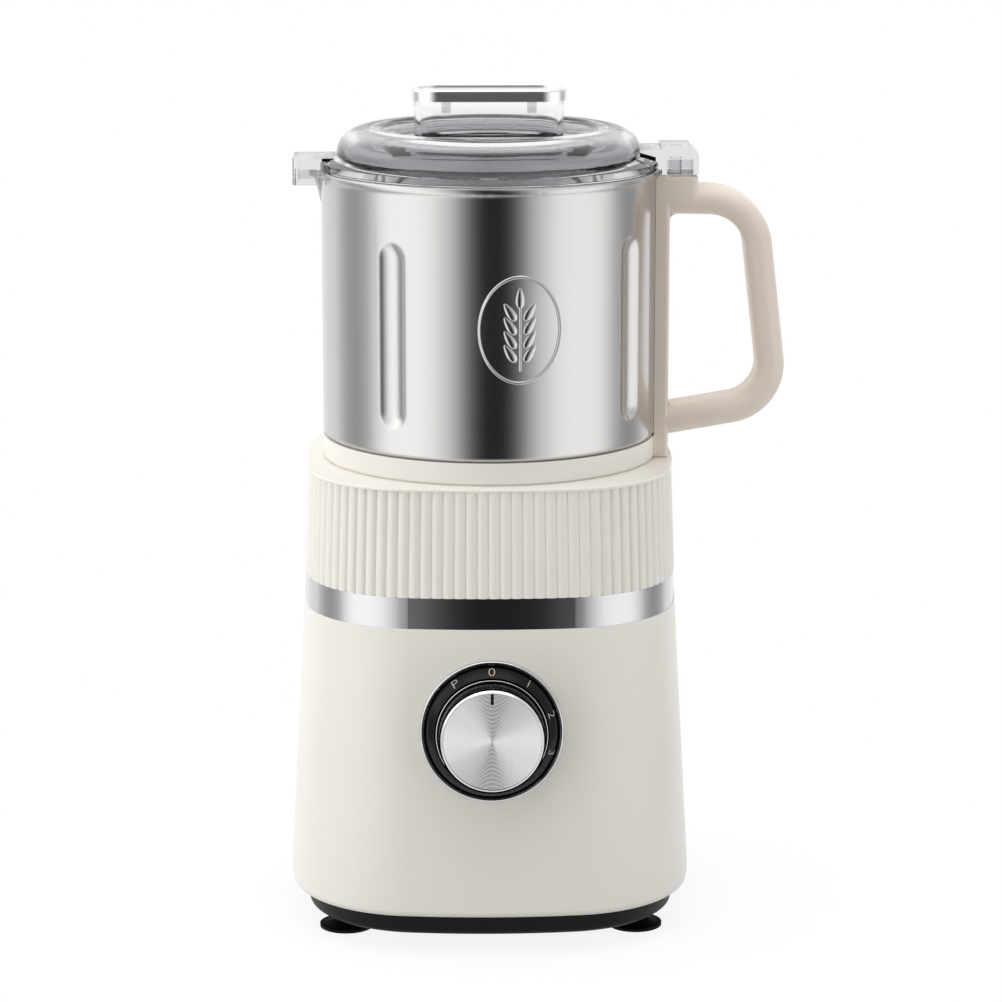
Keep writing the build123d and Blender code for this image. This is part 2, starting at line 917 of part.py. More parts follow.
def make_driven_coupling():
    dog = sector(dog_inner, dog_radius, dog_angle, driven_low - dog_height, driven_high)
    turn = 180 / dog_count
    coupling = union([disc(dog_radius, driven_low, driven_high), *around(dog, 0, dog_count, turn)])
    return coupling - disc(blade_shaft_radius + fit_gap, driven_low - overrun, driven_high + overrun)


def flutes(radius):
    """Upright capsules sunk into the jug's wall."""
    reach = jug_radius + flute_radius() - flute_depth
    low = steel_low + flute_low + flute_width / 2
    high = steel_low + flute_high - flute_width / 2
    capsule = disc(radius, low, high) + Pos(0, 0, low) * Sphere(radius) + Pos(0, 0, high) * Sphere(radius)
    return [Rot(0, 0, angle) * Pos(reach, 0, 0) * capsule for angle in flute_angles]


def flute_radius():
    """Radius of a flute that has its stated width and depth."""
    half = flute_width / 2
    return (half ** 2 + flute_depth ** 2) / (2 * flute_depth)


def spout(inset):
    """Cone that swells the jug's wall into its spout, drawn in by an inset."""
    top = jug_radius + spout_reach - spout_radius
    foot = jug_radius - spout_foot_radius
    wide = Pos(-top, 0, rim_top + overrun) * Circle(spout_radius - inset)
    slim = Pos(-foot, 0, rim_top - spout_height) * Circle(spout_foot_radius - inset)
    return loft([slim, wide])


def make_jug_shell():
    outer = disc(jug_radius, steel_low, rim_top)
    for capsule in flutes(flute_radius()):
        outer -= capsule
    outer = fillet(outer.edges().group_by(Axis.Z)[0], jug_round)
    lip_low = rim_top - rim_height
    lip = extrude(
        Pos(0, 0, lip_low)
        * (Circle(jug_radius + rim_overhang)
           + Pos(spout_radius - jug_radius - spout_reach, 0) * Circle(spout_radius + rim_overhang)),
        rim_height,
    )
    lip = fillet(lip.edges().group_by(Axis.Z)[-1] + lip.edges().group_by(Axis.Z)[0], rim_round)
    below = disc(jug_radius * 2, steel_low, rim_top)
    outer = outer + lip + (spout(0) & below)
    hollow = disc(jug_radius - jug_wall, floor_high, rim_top + overrun)
    hollow = fillet(hollow.edges().group_by(Axis.Z)[0], jug_round)
    for capsule in flutes(flute_radius() + jug_wall):
        hollow -= capsule
    shell = outer - hollow - spout(jug_wall)
    return shell - disc(housing_radius + fit_gap, steel_low - overrun, floor_high + overrun)


def make_jug_base():
    base = disc(jug_radius, base_top, steel_low)
    base -= disc(jug_radius - ring_wall, base_top - overrun, plate_low)
    spigot = well_radius - seat_spigot_gap
    base += ring(spigot, spigot - seat_spigot_wall, base_top - seat_spigot_depth, plate_low)
    base -= ring(jug_radius + overrun, jug_radius - shadow_line, base_top - overrun, base_top + shadow_line)
    notch = rod_width / 2 + slide_gap
    notch_high = rod_low + rod_foot_thick + rod_lift + slide_gap
    base -= block((rod_foot_inner - slide_gap, jug_radius + overrun), (-notch, notch), (base_top, notch_high))
    return base - disc(housing_radius + fit_gap, plate_low - overrun, steel_low + overrun)


def make_bearing_housing():
    housing = disc(housing_radius, housing_low, housing_seat)
    housing += disc(housing_flange, housing_seat, housing_high)
    housing = chamfer(housing.edges().group_by(Axis.Z)[-1], housing_chamfer)
    return housing - disc(bush_radius + fit_gap, housing_low - overrun, housing_high + overrun)


def make_housing_gasket():
    return ring(housing_flange, housing_radius + fit_gap, floor_high, housing_seat)


def make_housing_nut():
    low = plate_low - housing_nut_height
    nut = Pos(0, 0, low) * extrude(RegularPolygon(nut_across / 2, 6, major_radius=False), housing_nut_height)
    return nut - disc(housing_radius + fit_gap, low - overrun, plate_low + overrun)


def make_blade_bushes():
    bore = blade_shaft_radius + run_gap
    lower = ring(bush_radius, bore, housing_low, housing_low + bush_height)
    return [lower, ring(bush_radius, bore, housing_high - bush_height, housing_high)]


def make_shaft_seal():
    low = housing_high - bush_height - seal_height
    return ring(bush_radius, blade_shaft_radius + run_gap, low, low + seal_height)


def make_blade_shaft():
    return disc(blade_shaft_radius, driven_low, blade_nut_high)


def make_blade_spacer():
    return ring(spacer_radius, blade_shaft_radius + fit_gap, spacer_low, lower_blade_low)


def make_blade(low, reach, tip_angle, turn):
    """Two-armed blade with bent, narrowing tips."""
    lean = math.radians(tip_angle)
    tip = reach - blade_flat
    rise = tip * math.tan(lean)
    under = [(-reach, rise), (-blade_flat, 0), (blade_flat, 0), (reach, rise)]
    over = [(x, z + blade_thick) for x, z in reversed(under)]
    bent = extrude(make_face(Plane.XZ * Polyline(*under, *over, close=True)), blade_width, both=True)
    arms = [
        (-reach, -blade_tip_width / 2), (0, -blade_width / 2), (reach, -blade_tip_width / 2),
        (reach, blade_tip_width / 2), (0, blade_width / 2), (-reach, blade_tip_width / 2),
    ]
    plan = extrude(make_face(Polyline(*arms, close=True)), reach, both=True)
    blade = (bent & plan) + disc(blade_hub, 0, blade_thick)
    blade -= disc(blade_shaft_radius + fit_gap, -overrun, blade_thick + overrun)
    return Pos(0, 0, low) * Rot(0, 0, turn) * blade


def make_blade_nut():
    nut = Pos(0, 0, blade_nut_low) * extrude(RegularPolygon(blade_nut_radius, 6), blade_nut_height)
    dome = disc(blade_nut_radius * math.cos(math.pi / 6), blade_nut_high, blade_nut_high + blade_dome_height)
    nut += fillet(dome.edges().group_by(Axis.Z)[-1], blade_dome_height * blade_dome_round_share)
    return nut - disc(blade_shaft_radius + fit_gap, blade_nut_low - overrun, blade_nut_high + fit_gap)


def grip_path():
    """Middle line of the D-shaped grip, from its low root to its high one."""
    root = jug_radius + root_thick / 2
    high = head_top - grip_high_drop
    corners = [
        (root, base_top + grip_low),
        (jug_radius + grip_reach_low, base_top + grip_low + grip_low_slope),
        (jug_radius + grip_reach_high, high),
        (root, high + grip_high_slope),
    ]
    return Plane.XZ * FilletPolyline(*corners, radius=[grip_low_round, grip_high_round])


def gap_corner(height, way):
    """Web that rounds a corner of the finger gap, upwards or downwards from a height."""
    out = jug_radius + root_thick
    half = (handle_depth - grip_thick) / 2
    near = height - way * overrun
    far = height + way * gap_root_round
    web = block((out - overrun, out + gap_root_round), (-half, half), (min(near, far), max(near, far)))
    return web - Pos(out + gap_root_round, 0, far) * Rot(90, 0, 0) * Cylinder(gap_root_round, handle_depth)


def make_handle():
    half = handle_depth / 2
    path = grip_path()
    section = Plane(path @ 0, x_dir=(0, 1, 0), z_dir=path % 0) * SlotOverall(handle_depth, grip_thick)
    grip = sweep(section, path)
    root = block((jug_radius / 2, jug_radius + root_thick), (-half, half), (handle_low, head_top))
    root = fillet(root.edges().filter_by(Axis.Z).group_by(Axis.X)[-1], root_round)
    head_low = head_top - grip_high_drop + grip_high_slope
    head = block((jug_radius / 2, jug_radius + head_reach), (-half, half), (head_low, head_top))
    head = fillet(head.edges().filter_by(Axis.Z).group_by(Axis.X)[-1], head_corner)
    head_edges = head.faces().sort_by(Axis.Z)[-1].edges()
    head = fillet(head_edges.filter_by(lambda e: e.center().X > jug_radius), head_round)
    handle = grip + root + head
    handle += gap_corner(base_top + grip_low + grip_thick / 2, 1)
    handle += gap_corner(head_low - grip_thick / 2, -1)
    handle -= disc(jug_radius + fit_gap, base_top - overrun, rim_top)
    handle -= disc(jug_radius + rim_overhang + fit_gap, rim_top - rim_height - fit_gap, rim_top)
    groove = rod_width / 2 + slide_gap
    rod_out = jug_radius + rod_standoff + rod_thick + slide_gap
    handle -= block((jug_radius / 2, rod_out), (-groove, groove), (base_top, head_top + overrun))
    pocket = rod_head_width / 2 + slide_gap
    pocket_out = jug_radius + rod_head_reach + slide_gap
    pocket_low = head_top - pocket_depth
    handle -= block((jug_radius / 2, pocket_out), (-pocket, pocket), (pocket_low, head_top + overrun))
    for y, z in stud_places():
        out = jug_radius + root_thick
        handle -= rod_along_x(stud_radius + fit_gap, jug_radius / 2, jug_radius + stud_reach + fit_gap, y, z)
        handle -= rod_along_x(handle_screw_radius + fit_gap, jug_radius / 2, out + overrun, y, z)
        seat = out - handle_screw_head_height
        handle -= rod_along_x(handle_screw_head + fit_gap, seat, out + overrun, y, z)
    return handle


def stud_places():
    """Places of the handle's four studs across and up the jug."""
    return [(side * stud_spread, base_top + up) for side in (-1, 1) for up in (stud_low, stud_high)]


def make_handle_studs():
    studs = []
    for y, z in stud_places():
        stud = rod_along_x(stud_radius, jug_radius / 2, jug_radius + stud_reach, y, z)
        tip = jug_radius + stud_reach + overrun
        stud -= rod_along_x(handle_screw_radius + fit_gap, jug_radius, tip, y, z)
        studs.append(stud - disc(jug_radius + fit_gap, base_top, rim_top))
    return studs


def make_handle_screws():
    screws = []
    out = jug_radius + root_thick
    seat = out - handle_screw_head_height
    for y, z in stud_places():
        shank = rod_along_x(handle_screw_radius, jug_radius + fit_gap, seat, y, z)
        screws.append(shank + rod_along_x(handle_screw_head, seat, out - fit_gap, y, z))
    return screws


def make_push_rod():
    half = rod_width / 2
    inner = jug_radius + rod_standoff
    bar = block((inner, inner + rod_thick), (-half, half), (rod_low, rod_high))
    foot = block((rod_foot_inner, inner + rod_thick), (-half, half), (rod_low, rod_low + rod_foot_thick))
    head_half = rod_head_width / 2
    head_low = rod_high - rod_head_height
    head = block((inner, jug_radius + rod_head_reach), (-head_half, head_half), (head_low, rod_high))
    return bar + foot + head


def make_rod_spring():
    inner = jug_radius + rod_standoff + rod_thick
    outer = jug_radius + rod_head_reach
    low = head_top - pocket_depth + wire_radius + fit_gap
    high = rod_high - rod_head_height - wire_radius - fit_gap
    coil = Helix((high - low) / spring_turns, high - low, spring_radius)
    wire = sweep(Plane(coil @ 0, z_dir=coil % 0) * Circle(wire_radius), coil, is_frenet=True)
    return Pos((inner + outer) / 2, 0, low) * wire


def lid_profile():
    """Half section of the lid's outer form, from its flange to its recessed top."""
    edge_foot = (lid_radius, lid_low)
    edge_top = (lid_radius, lid_low + lid_edge)
    dome_foot = (dome_radius, dome_low)
    bulge = (dome_radius - dome_bulge_inset, dome_low + dome_bulge_rise)
    crest = (crest_radius, crest_high)
    crest_inner = (crest_radius - crest_width, crest_high)
    return dome_section(edge_foot, edge_top, dome_foot, bulge, crest, crest_inner, recess_floor)


def dome_section(edge_foot, edge_top, dome_foot, bulge, crest, crest_inner, floor):
    """Closed half section through a dome with a sunk top."""
    crown = ((crest[0] + crest_inner[0]) / 2, crest[1] + crest_top)
    recess_edge = (recess_radius, floor)
    lines = Polyline((0, edge_foot[1]), edge_foot, edge_top, dome_foot)
    lines += ThreePointArc(dome_foot, bulge, crest) + ThreePointArc(crest, crown, crest_inner)
    lines += Polyline(crest_inner, recess_edge, (0, floor), (0, edge_foot[1]))
    return make_face(lines)


def lid_hollow():
    """Half section of the space under the lid."""
    skirt_in = jug_radius - jug_wall - skirt_gap - skirt_wall
    edge_foot = (skirt_in, rim_top - skirt_depth - overrun)
    edge_top = (skirt_in, lid_low)
    dome_foot = (dome_radius - lid_wall, dome_low)
    bulge = (dome_foot[0] - dome_bulge_inset, dome_low + dome_bulge_rise - lid_wall)
    crest = (crest_radius - lid_wall / 2, crest_high - lid_wall)
    crest_inner = (crest[0] - crest_width, crest[1])
    return dome_section(edge_foot, edge_top, dome_foot, bulge, crest, crest_inner, recess_floor - lid_wall)


def racetrack(length, width, low, high):
    """Upright oval with straight sides."""
    return Pos(0, 0, low) * extrude(SlotOverall(length, width), high - low)


def make_lid_cover():
    skirt = jug_radius - jug_wall - skirt_gap
    cover = revolve(Plane.XZ * lid_profile(), Axis.Z)
    cover += disc(skirt, rim_top - skirt_depth, lid_low + lid_edge)
    cover += racetrack(boss_length, boss_width, recess_floor - lid_wall, boss_high)
    half = tab_width / 2
    tab_out = jug_radius + head_reach
    tab_in = jug_radius + rim_overhang + slide_gap * 2
    tab = block((tab_in, tab_out), (-half, half), (tab_low, tab_low + tab_height))
    far_edge = tab.edges().filter_by(Axis.Y).sort_by(lambda e: e.center().X + e.center().Z)[-1]
    tab = chamfer(far_edge, tab_chamfer)
    ledge_high = tab_low + tab_height - ledge_drop
    roof = tab_low + tab_height - tab_chamfer - tab_wall
    tab += block((dome_radius - lid_wall, tab_in + tab_wall), (-half, half), (lid_low, ledge_high))
    tab -= block(
        (tab_in + tab_wall, tab_out - tab_wall), (tab_wall - half, half - tab_wall), (tab_low - overrun, roof)
    )
    finger_x = jug_radius + rod_head_reach - finger_radius
    tab += Pos(finger_x, 0, 0) * disc(finger_radius, rod_high + slide_gap, roof + fit_gap)
    cover += tab
    reach = jug_radius + spout_tab_reach
    spout_tab = block((-reach, -tab_in), (-half, half), (rim_top - spout_tab_low, rim_top + spout_tab_high))
    spout_tab = fillet(spout_tab.edges().filter_by(Axis.Z).group_by(Axis.X)[0], spout_tab_round)
    spout_tab += block((-tab_in - tab_wall, -dome_radius), (-half, half), (lid_low, rim_top + spout_tab_high))
    spout_tab -= block(
        (tab_wall - reach, overrun - tab_in),
        (tab_wall - half, half - tab_wall),
        (rim_top - spout_tab_low - overrun, lid_low),
    )
    cover += spout_tab
    cover -= revolve(Plane.XZ * lid_hollow(), Axis.Z)
    inside = boss_high - boss_roof
    cover -= racetrack(boss_length - boss_wall * 2, boss_width - boss_wall * 2, lid_low, inside)
    for side in (-1, 1):
        cover -= clip(side, fit_gap)
    seal_low = rim_top - skirt_depth + lid_seal_low
    return cover - ring(skirt + overrun, skirt - lid_seal_groove, seal_low, seal_low + lid_seal_height)


def clip(side, gap):
    """Clip of the chrome plate, through the roof of the grip, grown by a gap."""
    half = clip_length / 2 + gap
    return block(
        (side * clip_place - half, side * clip_place + half),
        (-clip_width / 2 - gap, clip_width / 2 + gap),
        (boss_high - clip_depth, boss_high + fit_gap),
    )


def make_lid_seal():
    skirt = jug_radius - jug_wall - skirt_gap
    bore = skirt - lid_seal_groove + fit_gap
    low = rim_top - skirt_depth + lid_seal_low + fit_gap
    high = low + lid_seal_height - fit_gap * 2
    lip = jug_radius - jug_wall - slide_gap
    lip_low, lip_high, lip_root = [low + share * (high - low) for share in lid_seal_lip_shares]
    profile = [
        (bore, low), (skirt, low), (lip, lip_low), (lip, lip_high),
        (skirt, lip_root), (skirt, high), (bore, high),
    ]
    return spun(profile)


def make_lid_cap():
    high = boss_high + cap_thick
    cap = racetrack(cap_length, cap_width, boss_high, high)
    cap = fillet(cap.edges().group_by(Axis.Z)[-1], cap_round)
    dish_low = high - cap_dish_depth
    cap -= racetrack(cap_length - cap_dish * 2, cap_width - cap_dish * 2, dish_low, high + overrun)
    return union([cap, clip(-1, 0), clip(1, 0)])


pieces = {
    "base_shell": make_base_shell(),
    "trim_band": make_trim_band(),
    "ribbed_collar": make_ribbed_collar(),
    "base_plate": make_base_plate(),
    "foot_front_left": make_foot(-foot_x, -foot_y),
    "foot_front_right": make_foot(foot_x, -foot_y),
    "foot_rear_left": make_foot(-foot_x, foot_y),
    "foot_rear_right": make_foot(foot_x, foot_y),
    "plate_screws": make_plate_screws(),
    "cord_gland": make_cord_gland(),
    "bezel_trim": make_bezel_trim(),
    "dial_bezel": make_dial_bezel(),
    "speed_switch": make_speed_switch(),
    "switch_nut": make_switch_nut(),
    "knob_spindle": make_knob_spindle(),
    "knob_body": make_knob_body(),
    "knob_ring": make_knob_ring(),
    "knob_face": make_knob_face(),
    "knob_pointer": make_knob_pointer(),
    "interlock_switch": make_interlock_switch(),
    "interlock_button": make_interlock_button(),
    "stator_core": make_stator_core(),
    "field_coils": make_field_coils(),
    "motor_top_bracket": make_motor_top_bracket(),
    "motor_bottom_bracket": make_motor_bottom_bracket(),
    "top_bearing": make_bearing(bracket_high - hub_height),
    "bottom_bearing": make_bearing(foot_bracket_low + hub_height - bearing_height),
    "motor_bolts": make_motor_bolts(),
    "motor_mounts": make_motor_mounts(),
    "mount_screws": make_mount_screws(),
    "carbon_brushes": make_carbon_brushes(),
    "brush_holders": make_brush_holders(),
    "motor_shaft": make_motor_shaft(),
    "armature": make_armature(),
    "commutator": make_commutator(),
    "cooling_fan": make_cooling_fan(),
    "drive_coupling": make_drive_coupling(),
    "driven_coupling": make_driven_coupling(),
    "jug_shell": make_jug_shell(),
    "jug_base": make_jug_base(),
    "bearing_housing": make_bearing_housing(),
    "housing_gasket": make_housing_gasket(),
    "housing_nut": make_housing_nut(),
    "blade_bushes": make_blade_bushes(),
    "shaft_seal": make_shaft_seal(),
    "blade_shaft": make_blade_shaft(),
    "blade_spacer": make_blade_spacer(),
    "lower_blade": make_blade(lower_blade_low, lower_blade_reach, lower_tip_angle, 0),
    "upper_blade": make_blade(upper_blade_low, upper_blade_reach, upper_tip_angle, 90),
    "blade_nut": make_blade_nut(),
    "handle": make_handle(),
    "handle_studs": make_handle_studs(),
    "handle_screws": make_handle_screws(),
    "push_rod": make_push_rod(),
    "rod_spring": make_rod_spring(),
    "lid_cover": make_lid_cover(),
    "lid_seal": make_lid_seal(),
    "lid_cap": make_lid_cap(),
}

os.makedirs("parts", exist_ok=True)
for name, shape in pieces.items():
    copies = shape if isinstance(shape, list) else [shape]
    solids = [solid for each in copies for solid in each.solids()]
    export_step(Compound(children=solids), f"parts/{name}.step")
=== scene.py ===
"""Looks of an electric grain grinder, modelled around its CAD frame."""

import json
import math

import bpy
from bpy.props import FloatProperty, FloatVectorProperty, IntProperty, PointerProperty
from mathutils import Matrix, Vector

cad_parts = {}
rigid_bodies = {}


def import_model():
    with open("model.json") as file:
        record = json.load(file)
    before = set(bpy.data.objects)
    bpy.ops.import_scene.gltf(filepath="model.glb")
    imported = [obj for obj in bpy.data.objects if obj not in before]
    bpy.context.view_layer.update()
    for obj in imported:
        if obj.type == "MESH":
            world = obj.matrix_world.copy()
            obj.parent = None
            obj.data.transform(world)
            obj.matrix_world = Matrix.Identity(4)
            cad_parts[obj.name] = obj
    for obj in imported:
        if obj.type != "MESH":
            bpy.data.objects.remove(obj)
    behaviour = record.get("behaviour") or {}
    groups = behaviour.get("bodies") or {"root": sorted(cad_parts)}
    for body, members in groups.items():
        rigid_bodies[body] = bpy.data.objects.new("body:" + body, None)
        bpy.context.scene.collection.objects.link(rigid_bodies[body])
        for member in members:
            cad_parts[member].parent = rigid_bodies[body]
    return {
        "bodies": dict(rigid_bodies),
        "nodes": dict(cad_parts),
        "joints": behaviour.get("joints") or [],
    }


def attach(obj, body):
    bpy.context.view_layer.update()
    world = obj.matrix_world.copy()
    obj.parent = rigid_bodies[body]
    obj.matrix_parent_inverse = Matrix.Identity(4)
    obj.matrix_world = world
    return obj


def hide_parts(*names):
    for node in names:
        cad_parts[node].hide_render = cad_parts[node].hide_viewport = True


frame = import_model()

bl_info = {
    "name": "Grain grinder looks",
    "version": (1, 0, 0),
    "blender": (4, 5, 0),
    "location": "3D View > Sidebar > Grinder",
    "description": "Finishes and small parts of a kitchen grain grinder",
    "category": "Object",
}

MM = 0.001
SMOOTH_ANGLE = math.radians(35)
MERGE_DISTANCE = 0.001 * MM
UP = Vector((0, 0, 1))
ACROSS = Vector((1, 0, 0))

# Light round the object at eye level and below, by the angle from the front: dark behind the camera,
# then a soft box on each side, a grey gap beside the object and the pale backdrop behind it
STUDIO_LEVELS = (
    (0, 0.015), (7, 0.015), (10, 0.05), (14, 0.12), (18, 0.24), (24, 0.56), (31, 0.9), (44, 1.32),
    (57, 1.45), (76, 1.42), (86, 1.1), (95, 0.6), (106, 0.42), (116, 0.48), (126, 0.7), (138, 0.95),
    (156, 1.0), (180, 1.0),
)

# Light from above eye level, by the same angle
UPPER_LEVELS = (
    (0, 0.05), (9, 0.07), (15, 0.45), (30, 0.85), (50, 1.05), (75, 1.25), (100, 1.35), (130, 1.0),
    (180, 0.6),
)

# Sines of the angles above level between which the light changes to that from above, and then overhead
UPPER_RISE = (0.02, 0.3)
OVERHEAD_RISE = (0.82, 0.94)

# Angles from the front between which the white backdrop begins, as metal mirrors it
BACKDROP_EDGE = (126, 138)

# Table top: shares of its radius between which the shadow fades, its white as it is seen, mirrored or
# through the lid, and the grey that it gives back to the object
SHADOW_FADE_SHARES = (0.4, 0.95)
TABLE_WHITE = 0.95
TABLE_GREY = 0.55

# Dial marks and their angles, clockwise from the top
DIAL_MARKS = (("P", -36), ("0", 0), ("1", 36), ("2", 72), ("3", 108))

# Ear of grain: shares of the oval's height, then of a grain's length and of the embossing's height
STEM_SHARE = 0.62
STEM_DROP_SHARE = 0.08
GRAIN_SHARE = 0.2
TIP_RISE_SHARE = 0.3
PAIR_RISE_SHARE = 0.17
PAIR_STEP_SHARE = 0.13
GRAIN_REACH_SHARE = 0.48
GRAIN_WIDTH_SHARE = 0.42
STEM_RADIUS_SHARE = 0.8
STEM_ROUND_SHARE = 0.1
GRAIN_LEAN = math.radians(34)
GRAIN_TAPER = -0.7


class Signal:
    """Output socket of a shader node, used in Python arithmetic."""

    def __init__(self, graph, socket):
        self.graph = graph
        self.socket = socket

    def math(self, operation, *values):
        return self.graph.node("ShaderNodeMath", {"operation": operation}, dict(enumerate(values)))

    def __add__(self, other):
        return self.math("ADD", self, other)

    def __sub__(self, other):
        return self.math("SUBTRACT", self, other)

    def __rsub__(self, other):
        return self.math("SUBTRACT", other, self)

    def __mul__(self, other):
        return self.math("MULTIPLY", self, other)

    def __truediv__(self, other):
        return self.math("DIVIDE", self, other)

    __radd__ = __add__
    __rmul__ = __mul__


class Graph:
    """Node tree whose nodes all come from one method."""

    def __init__(self, tree):
        self.tree = tree

    def node(self, kind, settings=None, inputs=None, output=0):
        """Adds a node, sets it up, fills or links its sockets and returns one output."""
        made = self.tree.nodes.new(kind)
        for name, value in (settings or {}).items():
            if name == "stops":
                self.fill_ramp(made.color_ramp, value)
            else:
                setattr(made, name, value)
        for name, value in (inputs or {}).items():
            self.plug(made.inputs[name], value)
        return Signal(self, made.outputs[output])

    def plug(self, socket, value):
        if isinstance(value, Signal):
            self.tree.links.new(value.socket, socket)
        else:
            socket.default_value = value

    def step(self, value, low, high):
        """Soft step from 0 to 1 as a value goes from low to high."""
        inputs = {0: value, 1: low, 2: high, 3: 0.0, 4: 1.0}
        return self.node("ShaderNodeMapRange", {"interpolation_type": "SMOOTHSTEP"}, inputs)

    def fill_ramp(self, ramp, stops):
        while len(ramp.elements) < len(stops):
            ramp.elements.new(1.0)
        for element, (position, level) in zip(ramp.elements, stops):
            element.position = position
            element.color = (level, level, level, 1.0)


class Finish(Graph):
    """Procedural material on one Principled shader."""

    def __init__(self, name, constants):
        self.material = bpy.data.materials.new(name)
        self.material.use_nodes = True
        super().__init__(self.material.node_tree)
        self.shader = self.tree.nodes["Principled BSDF"]
        for socket, value in constants.items():
            self.feed(socket, value)

    def feed(self, socket, value):
        self.plug(self.shader.inputs[socket], value)

    def noise(self, size, detail=2.0, stretch=(1, 1, 1)):
        """Noise with patches about one size across, longer where the stretch is over 1."""
        where = self.node("ShaderNodeTexCoord", output="Object")
        scale = [1 / (size * length) for length in stretch]
        place = self.node("ShaderNodeMapping", inputs={"Vector": where, "Scale": scale})
        inputs = {"Vector": place, "Scale": 1.0, "Detail": detail}
        return self.node("ShaderNodeTexNoise", {"noise_dimensions": "3D"}, inputs, "Fac")

    def tint(self, amount, low, high):
        """Feeds a colour between two, by an amount from 0 to 1."""
        inputs = {0: amount, 6: (*low, 1), 7: (*high, 1)}
        self.feed("Base Color", self.node("ShaderNodeMix", {"data_type": "RGBA"}, inputs, 2))

    def relief(self, height, depth, edge=None):
        """Feeds a height from 0 to 1 as relief of a depth in metres, over edges rounded by a radius."""
        inputs = {"Strength": 1.0, "Distance": depth, "Height": height}
        if edge:
            inputs["Normal"] = self.node("ShaderNodeBevel", {"samples": 6}, {"Radius": edge})
        self.feed("Normal", self.node("ShaderNodeBump", inputs=inputs))

    def height(self):
        """Height over the table."""
        where = self.node("ShaderNodeTexCoord", output="Object")
        return self.node("ShaderNodeSeparateXYZ", inputs={0: where}, output="Z")

    def spread(self):
        """Distance from the upright axis."""
        where = self.node("ShaderNodeTexCoord", output="Object")
        inputs = {0: where, 1: (1, 1, 0)}
        level = self.node("ShaderNodeVectorMath", {"operation": "MULTIPLY"}, inputs, "Vector")
        return self.node("ShaderNodeVectorMath", {"operation": "LENGTH"}, {0: level}, "Value")


def shade(colour, level):
    """Colour made darker or lighter by a level."""
    return [min(channel * level, 1.0) for channel in colour]


def moulded_plastic(name, colour, roughness, grain_depth, shine=0.5):
    """Injection-moulded plastic: faint flow clouds and a fine eroded grain."""
    finish = Finish(name, {"IOR": 1.5, "Specular IOR Level": shine})
    clouds = finish.noise(60 * MM, detail=3.0)
    grain = finish.noise(0.5 * MM, detail=3.0)
    finish.tint(clouds, shade(colour, 0.97), shade(colour, 1.02))
    finish.feed("Roughness", roughness - 0.03 + clouds * 0.05 + grain * 0.03)
    finish.relief(grain, grain_depth)
    return finish.material


def cream_plastic(name):
    return moulded_plastic(name, bpy.context.scene.grinder_finish.cream, 0.36, 0.006 * MM)


def handle_plastic(name):
    return moulded_plastic(name, bpy.context.scene.grinder_finish.handle, 0.36, 0.006 * MM, shine=0.35)


def white_plastic(name):
    return moulded_plastic(name, (0.72, 0.71, 0.68), 0.45, 0.01 * MM)


def black_plastic(name):
    return moulded_plastic(name, (0.003, 0.003, 0.004), 0.45, 0.02 * MM, shine=0.15)


def black_gloss(name):
    return moulded_plastic(name, (0.002, 0.002, 0.003), 0.16, 0.001 * MM, shine=0.16)


def foot_rubber(name):
    finish = Finish(name, {"IOR": 1.5, "Specular IOR Level": 0.1})
    dust = finish.noise(3 * MM, detail=4.0)
    grain = finish.noise(0.35 * MM)
    finish.tint(dust, (0.002, 0.002, 0.003), (0.005, 0.005, 0.006))
    finish.feed("Roughness", 0.5 + dust * 0.15)
    finish.relief(grain, 0.02 * MM)
    return finish.material


def seal_silicone(name):
    finish = Finish(name, {"IOR": 1.42, "Specular IOR Level": 0.4})
    clouds = finish.noise(8 * MM, detail=3.0)
    finish.tint(clouds, (0.018, 0.018, 0.02), (0.032, 0.032, 0.035))
    finish.feed("Roughness", 0.4 + clouds * 0.1)
    return finish.material


def plated_metal(name, colour, roughness):
    """Chrome plating with the faintest waviness."""
    finish = Finish(name, {"Metallic": 1.0})
    haze = finish.noise(18 * MM, detail=4.0)
    finish.tint(haze, shade(colour, 0.97), colour)
    finish.feed("Roughness", roughness + haze * 0.04)
    return finish.material


def bright_chrome(name):
    return plated_metal(name, bpy.context.scene.grinder_finish.chrome, 0.03)


def band_chrome(name):
    return plated_metal(name, bpy.context.scene.grinder_finish.chrome, 0.13)


def satin_chrome(name):
    return plated_metal(name, bpy.context.scene.grinder_finish.cap, 0.26)


def brushed_steel(name, edge):
    """Steel brushed round the jug: long fine lines about Z, over edges pressed to a radius."""
    colour = bpy.context.scene.grinder_finish.steel
    finish = Finish(name, {"Metallic": 1.0, "Anisotropic": 0.6, "Anisotropic Rotation": 0.25})
    lines = finish.noise(0.7 * MM, detail=5.0, stretch=(60, 60, 1))
    fine = finish.noise(0.25 * MM, detail=2.0, stretch=(160, 160, 1))
    clouds = finish.noise(40 * MM, detail=2.0)
    finish.tint(lines * 0.6 + fine * 0.4, shade(colour, 0.98), shade(colour, 1.02))
    finish.feed("Roughness", 0.17 + lines * 0.05 + clouds * 0.03)
    finish.relief(lines + fine, 0.0008 * MM, edge)
    return finish.material


def jug_steel(name):
    return brushed_steel(name, 1.8 * MM)


def embossed_steel(name):
    return brushed_steel(name, 0.2 * MM)


def turned_metal(name, colour, roughness, line=0.4 * MM):
    """Machined metal with lathe lines about Z."""
    finish = Finish(name, {"Metallic": 1.0, "Anisotropic": 0.3})
    lines = finish.noise(line, detail=3.0, stretch=(25, 25, 1))
    stains = finish.noise(6 * MM, detail=4.0)
    finish.tint(stains, shade(colour, 0.88), shade(colour, 1.05))
    finish.feed("Roughness", roughness + lines * 0.12)
    finish.relief(lines, 0.008 * MM)
    return finish.material


def machined_steel(name):
    return turned_metal(name, (0.56, 0.55, 0.54), 0.2)


def bracket_alloy(name):
    return turned_metal(name, (0.62, 0.62, 0.63), 0.34, 1.2 * MM)


